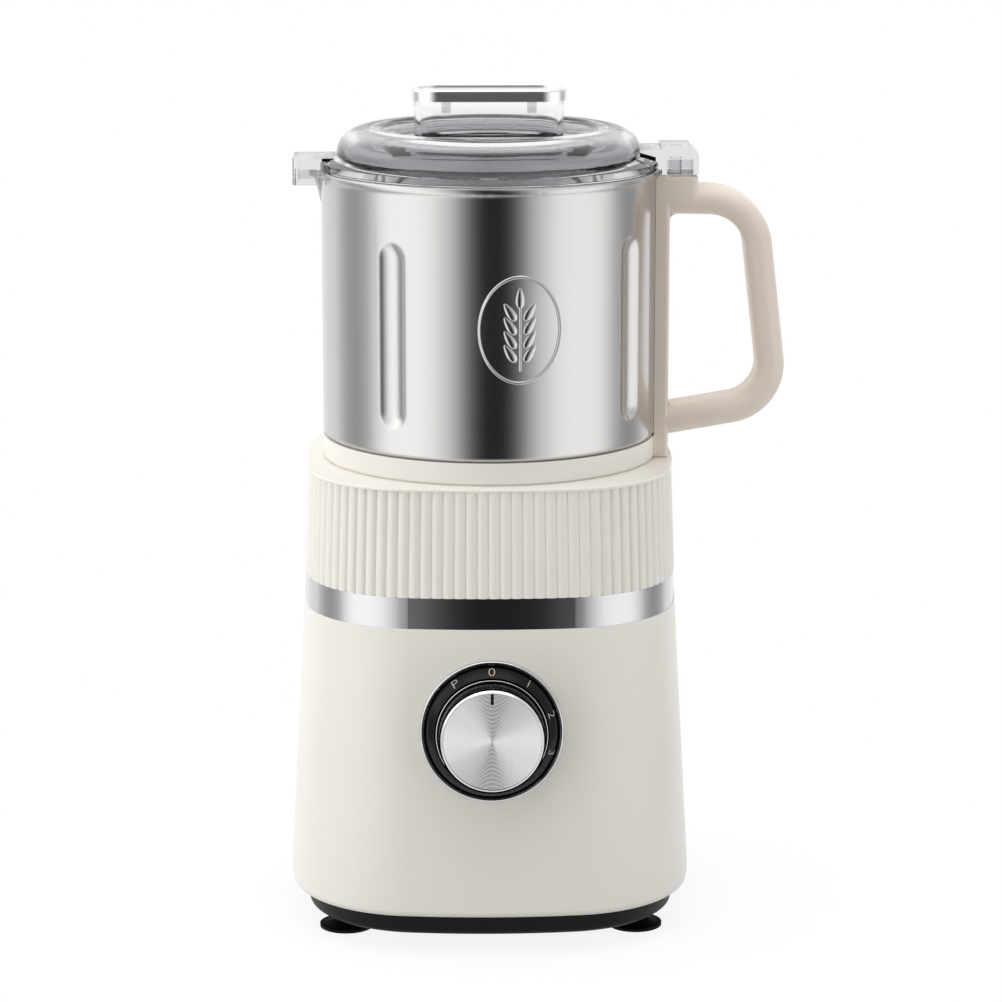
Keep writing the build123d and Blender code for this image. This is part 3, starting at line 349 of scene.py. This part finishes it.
def bush_bronze(name):
    return turned_metal(name, (0.55, 0.36, 0.18), 0.3)


def copper_wire(name):
    """Enamelled wire, wound in turns that show as close ridges."""
    finish = Finish(name, {"Metallic": 1.0, "Coat Weight": 0.5})
    turns = finish.noise(0.8 * MM, detail=1.0, stretch=(1, 1, 30))
    finish.tint(turns, (0.42, 0.12, 0.04), (0.72, 0.29, 0.11))
    finish.feed("Roughness", 0.25 + turns * 0.1)
    finish.relief(turns, 0.1 * MM)
    return finish.material


def motor_iron(name):
    """Stack of thin sheets, seen as level lines."""
    finish = Finish(name, {"Metallic": 0.9})
    sheets = finish.noise(0.5 * MM, detail=1.0, stretch=(400, 400, 1))
    rust = finish.noise(5 * MM, detail=5.0)
    finish.tint(rust, (0.1, 0.1, 0.11), (0.22, 0.21, 0.2))
    finish.feed("Roughness", 0.45 + sheets * 0.15)
    finish.relief(sheets, 0.03 * MM)
    return finish.material


def carbon(name):
    finish = Finish(name, {"Specular IOR Level": 0.3})
    dust = finish.noise(0.8 * MM, detail=4.0)
    finish.tint(dust, (0.02, 0.02, 0.02), (0.06, 0.06, 0.062))
    finish.feed("Roughness", 0.6 + dust * 0.15)
    finish.relief(dust, 0.03 * MM)
    return finish.material


def spun_aluminium(name):
    """Bright turned face: the grooves are real, so only fine haze is added."""
    colour = bpy.context.scene.grinder_finish.aluminium
    finish = Finish(name, {"Metallic": 1.0})
    haze = finish.noise(2 * MM, detail=4.0)
    finish.tint(haze, shade(colour, 0.95), shade(colour, 1.03))
    finish.feed("Roughness", 0.16 + haze * 0.06)
    return finish.material


def clear_plastic(name):
    """Clear moulding, lightly smoked, with the flow marks of a thick lid; its colour is painted paler over
    the grip and edge as painted light, and left darker over the dome as painted shade of the jug's dark
    inside seen through it.
    """
    colours = bpy.context.scene.grinder_finish
    sizes = bpy.context.scene.grinder_sizes
    finish = Finish(name, {"IOR": 1.49, "Transmission Weight": 1.0})
    flow = finish.noise(25 * MM, detail=3.0)
    # Painted light and shade: the grip and the edge are painted paler by height and reach, and the dome
    # between them keeps the darker smoke as painted shade
    foot = reach("lid_cover", UP)[1] - sizes.painted_light_grip_height
    grip = finish.step(finish.height(), foot, foot + sizes.painted_light_fade)
    inner = reach("jug_base", ACROSS)[1] - sizes.edge_width
    edge = finish.step(finish.spread(), inner, inner + sizes.painted_light_fade)
    finish.tint(grip.math("MAXIMUM", grip, edge * 0.6), colours.clear, colours.grip)
    finish.feed("Roughness", 0.02 + flow * 0.04)
    return finish.material


def mark_paint(name):
    """Printed dial marks: pale gold ink that covers a little unevenly."""
    colour = bpy.context.scene.grinder_finish.marks
    finish = Finish(name, {"Specular IOR Level": 0.4})
    cover = finish.noise(0.3 * MM, detail=2.0)
    finish.tint(cover, shade(colour, 0.85), shade(colour, 1.05))
    finish.feed("Roughness", 0.4 + cover * 0.1)
    return finish.material


FINISHES = {
    "cream_plastic": cream_plastic,
    "handle_plastic": handle_plastic,
    "white_plastic": white_plastic,
    "black_plastic": black_plastic,
    "black_gloss": black_gloss,
    "foot_rubber": foot_rubber,
    "seal_silicone": seal_silicone,
    "bright_chrome": bright_chrome,
    "band_chrome": band_chrome,
    "satin_chrome": satin_chrome,
    "jug_steel": jug_steel,
    "embossed_steel": embossed_steel,
    "machined_steel": machined_steel,
    "bracket_alloy": bracket_alloy,
    "bush_bronze": bush_bronze,
    "copper_wire": copper_wire,
    "motor_iron": motor_iron,
    "carbon": carbon,
    "spun_aluminium": spun_aluminium,
    "clear_plastic": clear_plastic,
    "mark_paint": mark_paint,
}

# CAD pieces whose finish differs from the rest of their slot
OWN_FINISHES = {"lid_cap": "satin_chrome", "trim_band": "band_chrome"}


def finish_named(slot):
    """Material of a finish, made the first time it is asked for."""
    name = f"{slot} finish"
    return bpy.data.materials.get(name) or FINISHES[slot](name)


def dress(piece, finish, body, replaced=()):
    """Gives a new piece its finish and the body that it rides on, and hides the CAD pieces that it
    replaces.
    """
    piece.data.materials.clear()
    piece.data.materials.append(finish_named(finish))
    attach(piece, body)
    if replaced:
        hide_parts(*replaced)


def reach(node, axis, origin=Vector()):
    """Least and greatest distance of a CAD node's points along an axis."""
    along = [(vertex.co - origin).dot(axis) for vertex in frame["nodes"][node].data.vertices]
    return min(along), max(along)


def joint_named(name):
    return next(joint for joint in frame["joints"] if joint["name"] == name)


def dial_place():
    """Centre of the dial on the front face, and its outward axis."""
    joint = joint_named("knob_turn")
    return Vector(joint["pos_m"]), -Vector(joint["axis"]).normalized()


def put_on_dial(piece):
    """Moves a piece modelled about Z onto the dial."""
    centre, outward = dial_place()
    piece.location = centre
    piece.rotation_euler = UP.rotation_difference(outward).to_euler()
    settle(piece)


def pick(piece):
    """Makes a piece the only one selected, and the active one."""
    bpy.ops.object.select_all(action="DESELECT")
    piece.select_set(True)
    bpy.context.view_layer.objects.active = piece


def settle(piece):
    """Applies a piece's place, turn and scale to its mesh."""
    pick(piece)
    bpy.ops.object.transform_apply(location=True, rotation=True, scale=True)


def apply_modifier(piece, kind, name, **settings):
    """Adds a modifier, sets it up and applies it."""
    modifier = piece.modifiers.new(name, kind)
    for key, value in settings.items():
        setattr(modifier, key, value)
    bpy.context.view_layer.objects.active = piece
    bpy.ops.object.modifier_apply(modifier=name)


def smooth(piece):
    """Smooth shading that keeps sharp corners."""
    pick(piece)
    bpy.ops.object.shade_smooth_by_angle(angle=SMOOTH_ANGLE)


def turned(name, profile, steps):
    """Turns an outline of radius and height about Z into a new piece."""
    bpy.ops.object.select_all(action="DESELECT")
    bpy.ops.mesh.primitive_plane_add(size=MM)
    piece = bpy.context.active_object
    piece.name = name
    bpy.ops.object.mode_set(mode="EDIT")
    bpy.ops.mesh.merge(type="CENTER")
    last = (0, 0)
    for k, point in enumerate(profile):
        step = (point[0] - last[0], 0, point[1] - last[1])
        if k:
            bpy.ops.mesh.extrude_region_move(TRANSFORM_OT_translate={"value": step})
        else:
            bpy.ops.transform.translate(value=step)
        last = point
    bpy.ops.mesh.select_all(action="SELECT")
    bpy.ops.mesh.spin(steps=steps, angle=math.tau, center=(0, 0, 0), axis=(0, 0, 1))
    bpy.ops.mesh.select_all(action="SELECT")
    bpy.ops.mesh.remove_doubles(threshold=MERGE_DISTANCE)
    bpy.ops.mesh.normals_make_consistent(inside=False)
    bpy.ops.object.mode_set(mode="OBJECT")
    smooth(piece)
    return piece


class GrinderFinish(bpy.types.PropertyGroup):
    """Colours of the finishes that show."""

    cream: FloatVectorProperty(
        name="Cream", description="Housing, collar and jug ring", subtype="COLOR",
        default=(0.88, 0.85, 0.79),
    )
    handle: FloatVectorProperty(
        name="Handle", description="Handle moulding", subtype="COLOR", default=(0.83, 0.735, 0.64)
    )
    steel: FloatVectorProperty(
        name="Steel", description="Brushed jug", subtype="COLOR", default=(0.58, 0.57, 0.56)
    )
    chrome: FloatVectorProperty(
        name="Chrome", description="Bright trim", subtype="COLOR", default=(0.61, 0.61, 0.62)
    )
    cap: FloatVectorProperty(
        name="Lid cap", description="Plate on the lid's grip", subtype="COLOR", default=(0.9, 0.9, 0.91)
    )
    aluminium: FloatVectorProperty(
        name="Aluminium", description="Turned knob face", subtype="COLOR", default=(0.74, 0.74, 0.75)
    )
    # Lid's grey smoke, which over the dome also stands as painted shade of the jug's dark inside seen
    # through it
    clear: FloatVectorProperty(
        name="Clear plastic", description="Lid moulding", subtype="COLOR", default=(0.52, 0.525, 0.545)
    )
    # Painted light: paler colour painted over the lid's grip, and in part over its edge
    grip: FloatVectorProperty(
        name="Lid grip", description="Paler moulding of the lid's grip", subtype="COLOR",
        default=(0.97, 0.97, 0.98),
    )
    marks: FloatVectorProperty(
        name="Marks", description="Printed dial marks", subtype="COLOR", default=(0.5, 0.44, 0.33)
    )


class GrinderSizes(bpy.types.PropertyGroup):
    """Sizes of the pieces modelled here."""

    # Reach of the lid's painted light: its pale grip and edge, and the fade from them into the dome's
    # painted shade
    painted_light_grip_height: FloatProperty(
        name="Grip height", description="Height of the lid's pale grip", unit="LENGTH", default=14.5 * MM
    )
    edge_width: FloatProperty(
        name="Edge width", description="Width of the lid's pale edge", unit="LENGTH", default=6.5 * MM
    )
    painted_light_fade: FloatProperty(
        name="Tint fade", description="Length over which the lid turns pale", unit="LENGTH",
        default=2 * MM,
    )
    groove_pitch: FloatProperty(
        name="Groove pitch", description="Spacing of the knob's turned grooves", unit="LENGTH",
        default=0.5 * MM,
    )
    groove_depth: FloatProperty(
        name="Groove depth", description="Depth of the knob's turned grooves", unit="LENGTH",
        default=0.08 * MM,
    )
    face_chamfer: FloatProperty(
        name="Face chamfer", description="Bright edge of the knob's face", unit="LENGTH",
        default=0.7 * MM,
    )
    mark_size: FloatProperty(
        name="Mark size", description="Type size of the dial marks", unit="LENGTH", default=6.0 * MM
    )
    mark_reach: FloatProperty(
        name="Mark reach", description="Dial marks' distance from the dial's axis", unit="LENGTH",
        default=23.6 * MM,
    )
    mark_thinning: FloatProperty(
        name="Mark thinning", description="How far the marks' strokes are drawn in", unit="LENGTH",
        default=0.08 * MM,
    )
    mark_thick: FloatProperty(
        name="Mark thickness", description="Thickness of the printed marks", unit="LENGTH",
        default=0.04 * MM,
    )
    emblem_width: FloatProperty(
        name="Emblem width", description="Width of the embossed oval", unit="LENGTH", default=31 * MM
    )
    emblem_height: FloatProperty(
        name="Emblem height", description="Height of the embossed oval", unit="LENGTH", default=40 * MM
    )
    emblem_relief: FloatProperty(
        name="Emblem relief", description="Height of the embossing", unit="LENGTH", default=0.7 * MM
    )
    emblem_rise: FloatProperty(
        name="Emblem rise", description="Height of the emblem's middle", unit="LENGTH", default=240 * MM
    )
    emblem_turn: FloatProperty(
        name="Emblem turn", description="Emblem's angle right of the front", subtype="ANGLE",
        default=math.radians(9.6),
    )
    grain_pairs: IntProperty(name="Grain pairs", description="Pairs of grains in the ear", default=4)


class GrinderStage(bpy.types.PropertyGroup):
    """Camera, floor and light."""

    camera_place: FloatVectorProperty(
        name="Camera", description="Camera's place", subtype="XYZ", unit="LENGTH",
        default=(-0.0161, -1.3805, 0.462),
    )
    camera_tilt: FloatProperty(
        name="Tilt", description="Camera's angle down from level", subtype="ANGLE",
        default=math.radians(12.3),
    )
    camera_turn: FloatProperty(
        name="Turn", description="Camera's angle about the upright", subtype="ANGLE",
        default=math.radians(-0.86),
    )
    lens: FloatProperty(name="Lens", description="Focal length in millimetres", default=128.6)
    floor_radius: FloatProperty(
        name="Floor", description="Radius of the table top", unit="LENGTH", default=0.25
    )
    shadow: FloatProperty(
        name="Shadow", description="Depth of the shadow on the white table", subtype="FACTOR",
        default=0.12,
    )
    light_turn: FloatProperty(
        name="Light turn", description="Turn of the lights about the upright", subtype="ANGLE",
        default=math.radians(2.5),
    )
    left_share: FloatProperty(
        name="Left share", description="How far the left soft box outshines the right", subtype="FACTOR",
        default=0.05,
    )
    upper_share: FloatProperty(
        name="Upper left share", description="The same for the light from above", subtype="FACTOR",
        default=0.42,
    )
    top_level: FloatProperty(name="Top level", description="Light from overhead", default=2.4)


class GRINDER_OT_finishes(bpy.types.Operator):
    """Gives every CAD piece the procedural finish of its material slot"""

    bl_idname = "grinder.finishes"
    bl_label = "Finishes"

    def execute(self, context):
        for name, node in frame["nodes"].items():
            for slot in node.material_slots:
                slot.material = finish_named(OWN_FINISHES.get(name) or slot.material.name.split(".")[0])
        return {"FINISHED"}


class GRINDER_OT_knob_face(bpy.types.Operator):
    """Turns the knob's bright face, with its concentric grooves"""

    bl_idname = "grinder.knob_face"
    bl_label = "Knob face"

    def execute(self, context):
        sizes = context.scene.grinder_sizes
        centre, outward = dial_place()
        back, front = reach("knob_face", outward, centre)
        radius = reach("knob_face", ACROSS)[1]
        pitch, depth = sizes.groove_pitch, sizes.groove_depth
        count = int((radius - sizes.face_chamfer) / pitch)
        top = front - depth / 2
        profile = [(0, top)]
        for ring in range(count):
            profile.append(((ring + 0.5) * pitch, top - depth))
            profile.append(((ring + 1) * pitch, top))
        profile += [(radius - sizes.face_chamfer, front), (radius, front - sizes.face_chamfer)]
        profile += [(radius, back), (0, back)]
        face = turned("turned_knob_face", profile, 180)
        put_on_dial(face)
        dress(face, "spun_aluminium", "knob", ["knob_face"])
        return {"FINISHED"}


class GRINDER_OT_dial_marks(bpy.types.Operator):
    """Prints the dial's marks round its black ring"""

    bl_idname = "grinder.dial_marks"
    bl_label = "Dial marks"

    def execute(self, context):
        for text, angle in DIAL_MARKS:
            mark = self.mark(context.scene.grinder_sizes, text, math.radians(angle))
            dress(mark, "mark_paint", "base")
        return {"FINISHED"}

    def mark(self, sizes, text, angle):
        """One mark, laid on the ring's slope."""
        ring = frame["nodes"]["dial_bezel"]
        centre, outward = dial_place()
        radial = outward.cross(ACROSS) * math.cos(angle) + ACROSS * math.sin(angle)
        above = centre + radial * sizes.mark_reach + outward * sizes.mark_reach
        _, place, normal, _ = ring.ray_cast(above, -outward)
        slope = radial - normal * radial.dot(normal)
        slope.normalize()
        bpy.ops.object.select_all(action="DESELECT")
        bpy.ops.object.text_add()
        mark = bpy.context.active_object
        mark.name = f"dial_mark_{text}"
        mark.data.body = text
        mark.data.size = sizes.mark_size
        mark.data.align_x = "CENTER"
        mark.data.align_y = "CENTER"
        mark.data.offset = -sizes.mark_thinning
        bpy.ops.object.convert(target="MESH")
        mark = bpy.context.active_object
        mark.location = place
        mark.rotation_euler = Matrix((slope.cross(normal), slope, normal)).transposed().to_euler()
        settle(mark)
        bpy.ops.object.mode_set(mode="EDIT")
        bpy.ops.mesh.select_all(action="SELECT")
        bpy.ops.mesh.subdivide(number_cuts=2)
        bpy.ops.object.mode_set(mode="OBJECT")
        apply_modifier(
            mark, "SHRINKWRAP", "lay", target=ring, offset=sizes.mark_thick,
            wrap_method="NEAREST_SURFACEPOINT", wrap_mode="ABOVE_SURFACE",
        )
        apply_modifier(mark, "SOLIDIFY", "ink", thickness=sizes.mark_thick, offset=-1.0)
        return mark


class GRINDER_OT_emblem(bpy.types.Operator):
    """Embosses an ear of grain in an oval on the jug's front"""

    bl_idname = "grinder.emblem"
    bl_label = "Emblem"

    def execute(self, context):
        sizes = context.scene.grinder_sizes
        parts = [self.border(sizes), self.stem(sizes), *self.grains(sizes)]
        bpy.ops.object.select_all(action="DESELECT")
        for part in parts:
            part.select_set(True)
        emblem = parts[0]
        bpy.context.view_layer.objects.active = emblem
        bpy.ops.object.join()
        emblem.name = "grain_emblem"
        jug_radius = reach("jug_base", ACROSS)[1]
        apply_modifier(
            emblem, "SIMPLE_DEFORM", "wrap", deform_method="BEND", deform_axis="Z",
            angle=emblem.dimensions.x / jug_radius,
        )
        emblem.location = (0, -jug_radius, 0)
        settle(emblem)
        emblem.location = (0, 0, sizes.emblem_rise)
        emblem.rotation_euler = (0, 0, sizes.emblem_turn)
        settle(emblem)
        smooth(emblem)
        dress(emblem, "embossed_steel", "jug")
        return {"FINISHED"}

    def border(self, sizes):
        """Oval bead round the ear."""
        bpy.ops.object.select_all(action="DESELECT")
        bpy.ops.mesh.primitive_torus_add(
            major_segments=96, minor_segments=12, major_radius=sizes.emblem_height / 2,
            minor_radius=sizes.emblem_relief, rotation=(math.pi / 2, 0, 0),
        )
        border = bpy.context.active_object
        settle(border)
        bpy.ops.object.mode_set(mode="EDIT")
        bpy.ops.mesh.select_all(action="SELECT")
        bpy.ops.transform.resize(value=(sizes.emblem_width / sizes.emblem_height, 1, 1))
        bpy.ops.object.mode_set(mode="OBJECT")
        return border

    def stem(self, sizes):
        """Slim stalk of the ear."""
        bpy.ops.object.select_all(action="DESELECT")
        bpy.ops.mesh.primitive_cylinder_add(
            vertices=16, radius=sizes.emblem_relief * STEM_RADIUS_SHARE,
            depth=sizes.emblem_height * STEM_SHARE, location=(0, 0, -sizes.emblem_height * STEM_DROP_SHARE),
        )
        stem = bpy.context.active_object
        settle(stem)
        bpy.ops.object.mode_set(mode="EDIT")
        bpy.ops.mesh.select_all(action="SELECT")
        bpy.ops.mesh.bevel(offset=sizes.emblem_relief * STEM_ROUND_SHARE, segments=2)
        bpy.ops.object.mode_set(mode="OBJECT")
        return stem

    def grains(self, sizes):
        """Grains in pairs up the stalk, with one at its tip."""
        length = sizes.emblem_height * GRAIN_SHARE
        grains = [self.grain(sizes, length, (0, 0, sizes.emblem_height * TIP_RISE_SHARE), 0)]
        for pair in range(sizes.grain_pairs):
            rise = sizes.emblem_height * (PAIR_RISE_SHARE - PAIR_STEP_SHARE * pair)
            for side in (-1, 1):
                place = (side * length * GRAIN_REACH_SHARE, 0, rise)
                grains.append(self.grain(sizes, length, place, side * GRAIN_LEAN))
        return grains

    def grain(self, sizes, length, place, lean):
        """One grain: a ball drawn out and narrowed at its tip."""
        bpy.ops.object.select_all(action="DESELECT")
        bpy.ops.mesh.primitive_uv_sphere_add(segments=20, ring_count=14, radius=length / 2)
        grain = bpy.context.active_object
        bpy.ops.object.mode_set(mode="EDIT")
        bpy.ops.mesh.select_all(action="SELECT")
        bpy.ops.transform.resize(value=(GRAIN_WIDTH_SHARE, sizes.emblem_relief * 2 / length, 1))
        bpy.ops.object.mode_set(mode="OBJECT")
        apply_modifier(
            grain, "SIMPLE_DEFORM", "tip", deform_method="TAPER", deform_axis="Z", factor=GRAIN_TAPER
        )
        grain.rotation_euler = (0, lean, 0)
        grain.location = place
        settle(grain)
        return grain


class GRINDER_OT_stage(bpy.types.Operator):
    """Sets the white table, the soft light and the camera"""

    bl_idname = "grinder.stage"
    bl_label = "Stage"

    def execute(self, context):
        stage = context.scene.grinder_stage
        self.floor(stage)
        self.light(context.scene, stage)
        self.camera(context.scene, stage)
        context.scene.view_settings.view_transform = "Standard"
        return {"FINISHED"}

    def floor(self, stage):
        bpy.ops.object.select_all(action="DESELECT")
        bpy.ops.mesh.primitive_circle_add(vertices=96, radius=stage.floor_radius, fill_type="NGON")
        floor = bpy.context.active_object
        floor.name = "table_top"
        paint = bpy.data.materials.new("white table")
        paint.use_nodes = True
        graph = Graph(paint.node_tree)
        where = graph.node("ShaderNodeTexCoord", output="Object")
        out = graph.node("ShaderNodeVectorMath", {"operation": "LENGTH"}, {0: where}, "Value")
        near, far = [stage.floor_radius * share for share in SHADOW_FADE_SHARES]
        fade = graph.node(
            "ShaderNodeMapRange", {"interpolation_type": "SMOOTHSTEP"},
            {0: out, 1: near, 2: far, 3: stage.shadow, 4: 0.0},
        )
        seen = self.seen_by(graph, "Is Camera Ray", "Is Glossy Ray", "Is Transmission Ray")
        colour = TABLE_GREY + seen * (TABLE_WHITE - TABLE_GREY)
        matt = graph.node("ShaderNodeBsdfDiffuse", inputs={"Color": colour})
        white = graph.node("ShaderNodeEmission", inputs={"Color": (1, 1, 1, 1), "Strength": 1.0})
        mixed = graph.node("ShaderNodeMixShader", inputs={0: seen * (1 - fade), 1: matt, 2: white})
        under = graph.node("ShaderNodeNewGeometry", output="Backfacing")
        clear = graph.node("ShaderNodeBsdfTransparent")
        mixed = graph.node("ShaderNodeMixShader", inputs={0: seen * under, 1: mixed, 2: clear})
        graph.plug(paint.node_tree.nodes["Material Output"].inputs["Surface"], mixed)
        floor.data.materials.append(paint)

    def light(self, scene, stage):
        """Soft boxes each side, dark behind the camera, white behind the object."""
        world = bpy.data.worlds.new("studio")
        scene.world = world
        world.use_nodes = True
        graph = Graph(world.node_tree)
        way = graph.node("ShaderNodeTexCoord", output="Generated")
        split = graph.node("ShaderNodeSeparateXYZ", inputs={0: way})
        x, y, z = [Signal(graph, split.socket.node.outputs[k]) for k in range(3)]
        level_way = x.math("SQRT", x * x + y * y)
        ahead = y * math.cos(stage.light_turn) - x * math.sin(stage.light_turn)
        turn = (ahead / level_way + 1) * 0.5
        boxes = self.levels(graph, turn, STUDIO_LEVELS) * (1 - x * stage.left_share)
        upper = self.levels(graph, turn, UPPER_LEVELS) * (1 - x * stage.upper_share)
        raised = graph.step(z, *UPPER_RISE)
        above = graph.step(z, *OVERHEAD_RISE)
        level = boxes * (1 - raised) + upper * raised
        level = level * (1 - above) + above * stage.top_level
        behind = graph.step(turn, *[self.turned(angle) for angle in BACKDROP_EDGE]) * (1 - above)
        mirrored = self.seen_by(graph, "Is Glossy Ray") * behind
        backdrop = self.seen_by(graph, "Is Camera Ray", "Is Transmission Ray")
        backdrop = backdrop.math("MAXIMUM", backdrop, mirrored)
        level = level * (1 - backdrop) + backdrop
        light = graph.node("ShaderNodeBackground", inputs={"Color": (1, 1, 1, 1), "Strength": level})
        graph.plug(world.node_tree.nodes["World Output"].inputs["Surface"], light)

    def turned(self, angle):
        """An angle from the front, as a share from 0 at the front to 1 behind."""
        return (1 - math.cos(math.radians(angle))) / 2

    def seen_by(self, graph, *rays):
        """1 for the named kinds of ray, 0 for the others."""
        seen = graph.node("ShaderNodeLightPath", output=rays[0])
        for ray in rays[1:]:
            seen = seen.math("MAXIMUM", seen, graph.node("ShaderNodeLightPath", output=ray))
        return seen

    def levels(self, graph, turn, table):
        """Light levels from a table by the angle from the front."""
        stops = [(self.turned(angle), level / 2) for angle, level in table]
        return graph.node("ShaderNodeValToRGB", {"stops": stops}, {0: turn}) * 2

    def camera(self, scene, stage):
        tilt = (math.pi / 2 - stage.camera_tilt, 0, stage.camera_turn)
        bpy.ops.object.camera_add(location=stage.camera_place, rotation=tilt)
        camera = bpy.context.active_object
        camera.data.lens = stage.lens
        camera.data.dof.use_dof = False
        scene.camera = camera


class GRINDER_PT_looks(bpy.types.Panel):
    """Lists the grinder's operators and settings"""

    bl_idname = "GRINDER_PT_looks"
    bl_label = "Grain grinder"
    bl_space_type = "VIEW_3D"
    bl_region_type = "UI"
    bl_category = "Grinder"

    def draw(self, context):
        for operator in OPERATORS:
            self.layout.operator(operator.bl_idname)
        for name, group in GROUPS.items():
            box = self.layout.box()
            for setting in group.__annotations__:
                box.prop(getattr(context.scene, name), setting)


GROUPS = {
    "grinder_finish": GrinderFinish,
    "grinder_sizes": GrinderSizes,
    "grinder_stage": GrinderStage,
}
OPERATORS = (
    GRINDER_OT_finishes,
    GRINDER_OT_knob_face,
    GRINDER_OT_dial_marks,
    GRINDER_OT_emblem,
    GRINDER_OT_stage,
)


def register():
    for group in (*GROUPS.values(), *OPERATORS, GRINDER_PT_looks):
        bpy.utils.register_class(group)
    for name, group in GROUPS.items():
        setattr(bpy.types.Scene, name, PointerProperty(type=group))


def unregister():
    for name in GROUPS:
        delattr(bpy.types.Scene, name)
    for group in (GRINDER_PT_looks, *reversed(OPERATORS), *reversed(GROUPS.values())):
        bpy.utils.unregister_class(group)


def clear_start_objects():
    """Removes the cube, lamp and camera of a new file."""
    kept = {*frame["nodes"].values(), *frame["bodies"].values()}
    for thing in list(bpy.data.objects):
        if thing not in kept:
            bpy.data.objects.remove(thing)


def main():
    clear_start_objects()
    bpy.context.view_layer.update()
    register()
    bpy.ops.grinder.finishes()
    bpy.ops.grinder.knob_face()
    bpy.ops.grinder.dial_marks()
    bpy.ops.grinder.emblem()
    bpy.ops.grinder.stage()


if __name__ == "__main__":
    main()
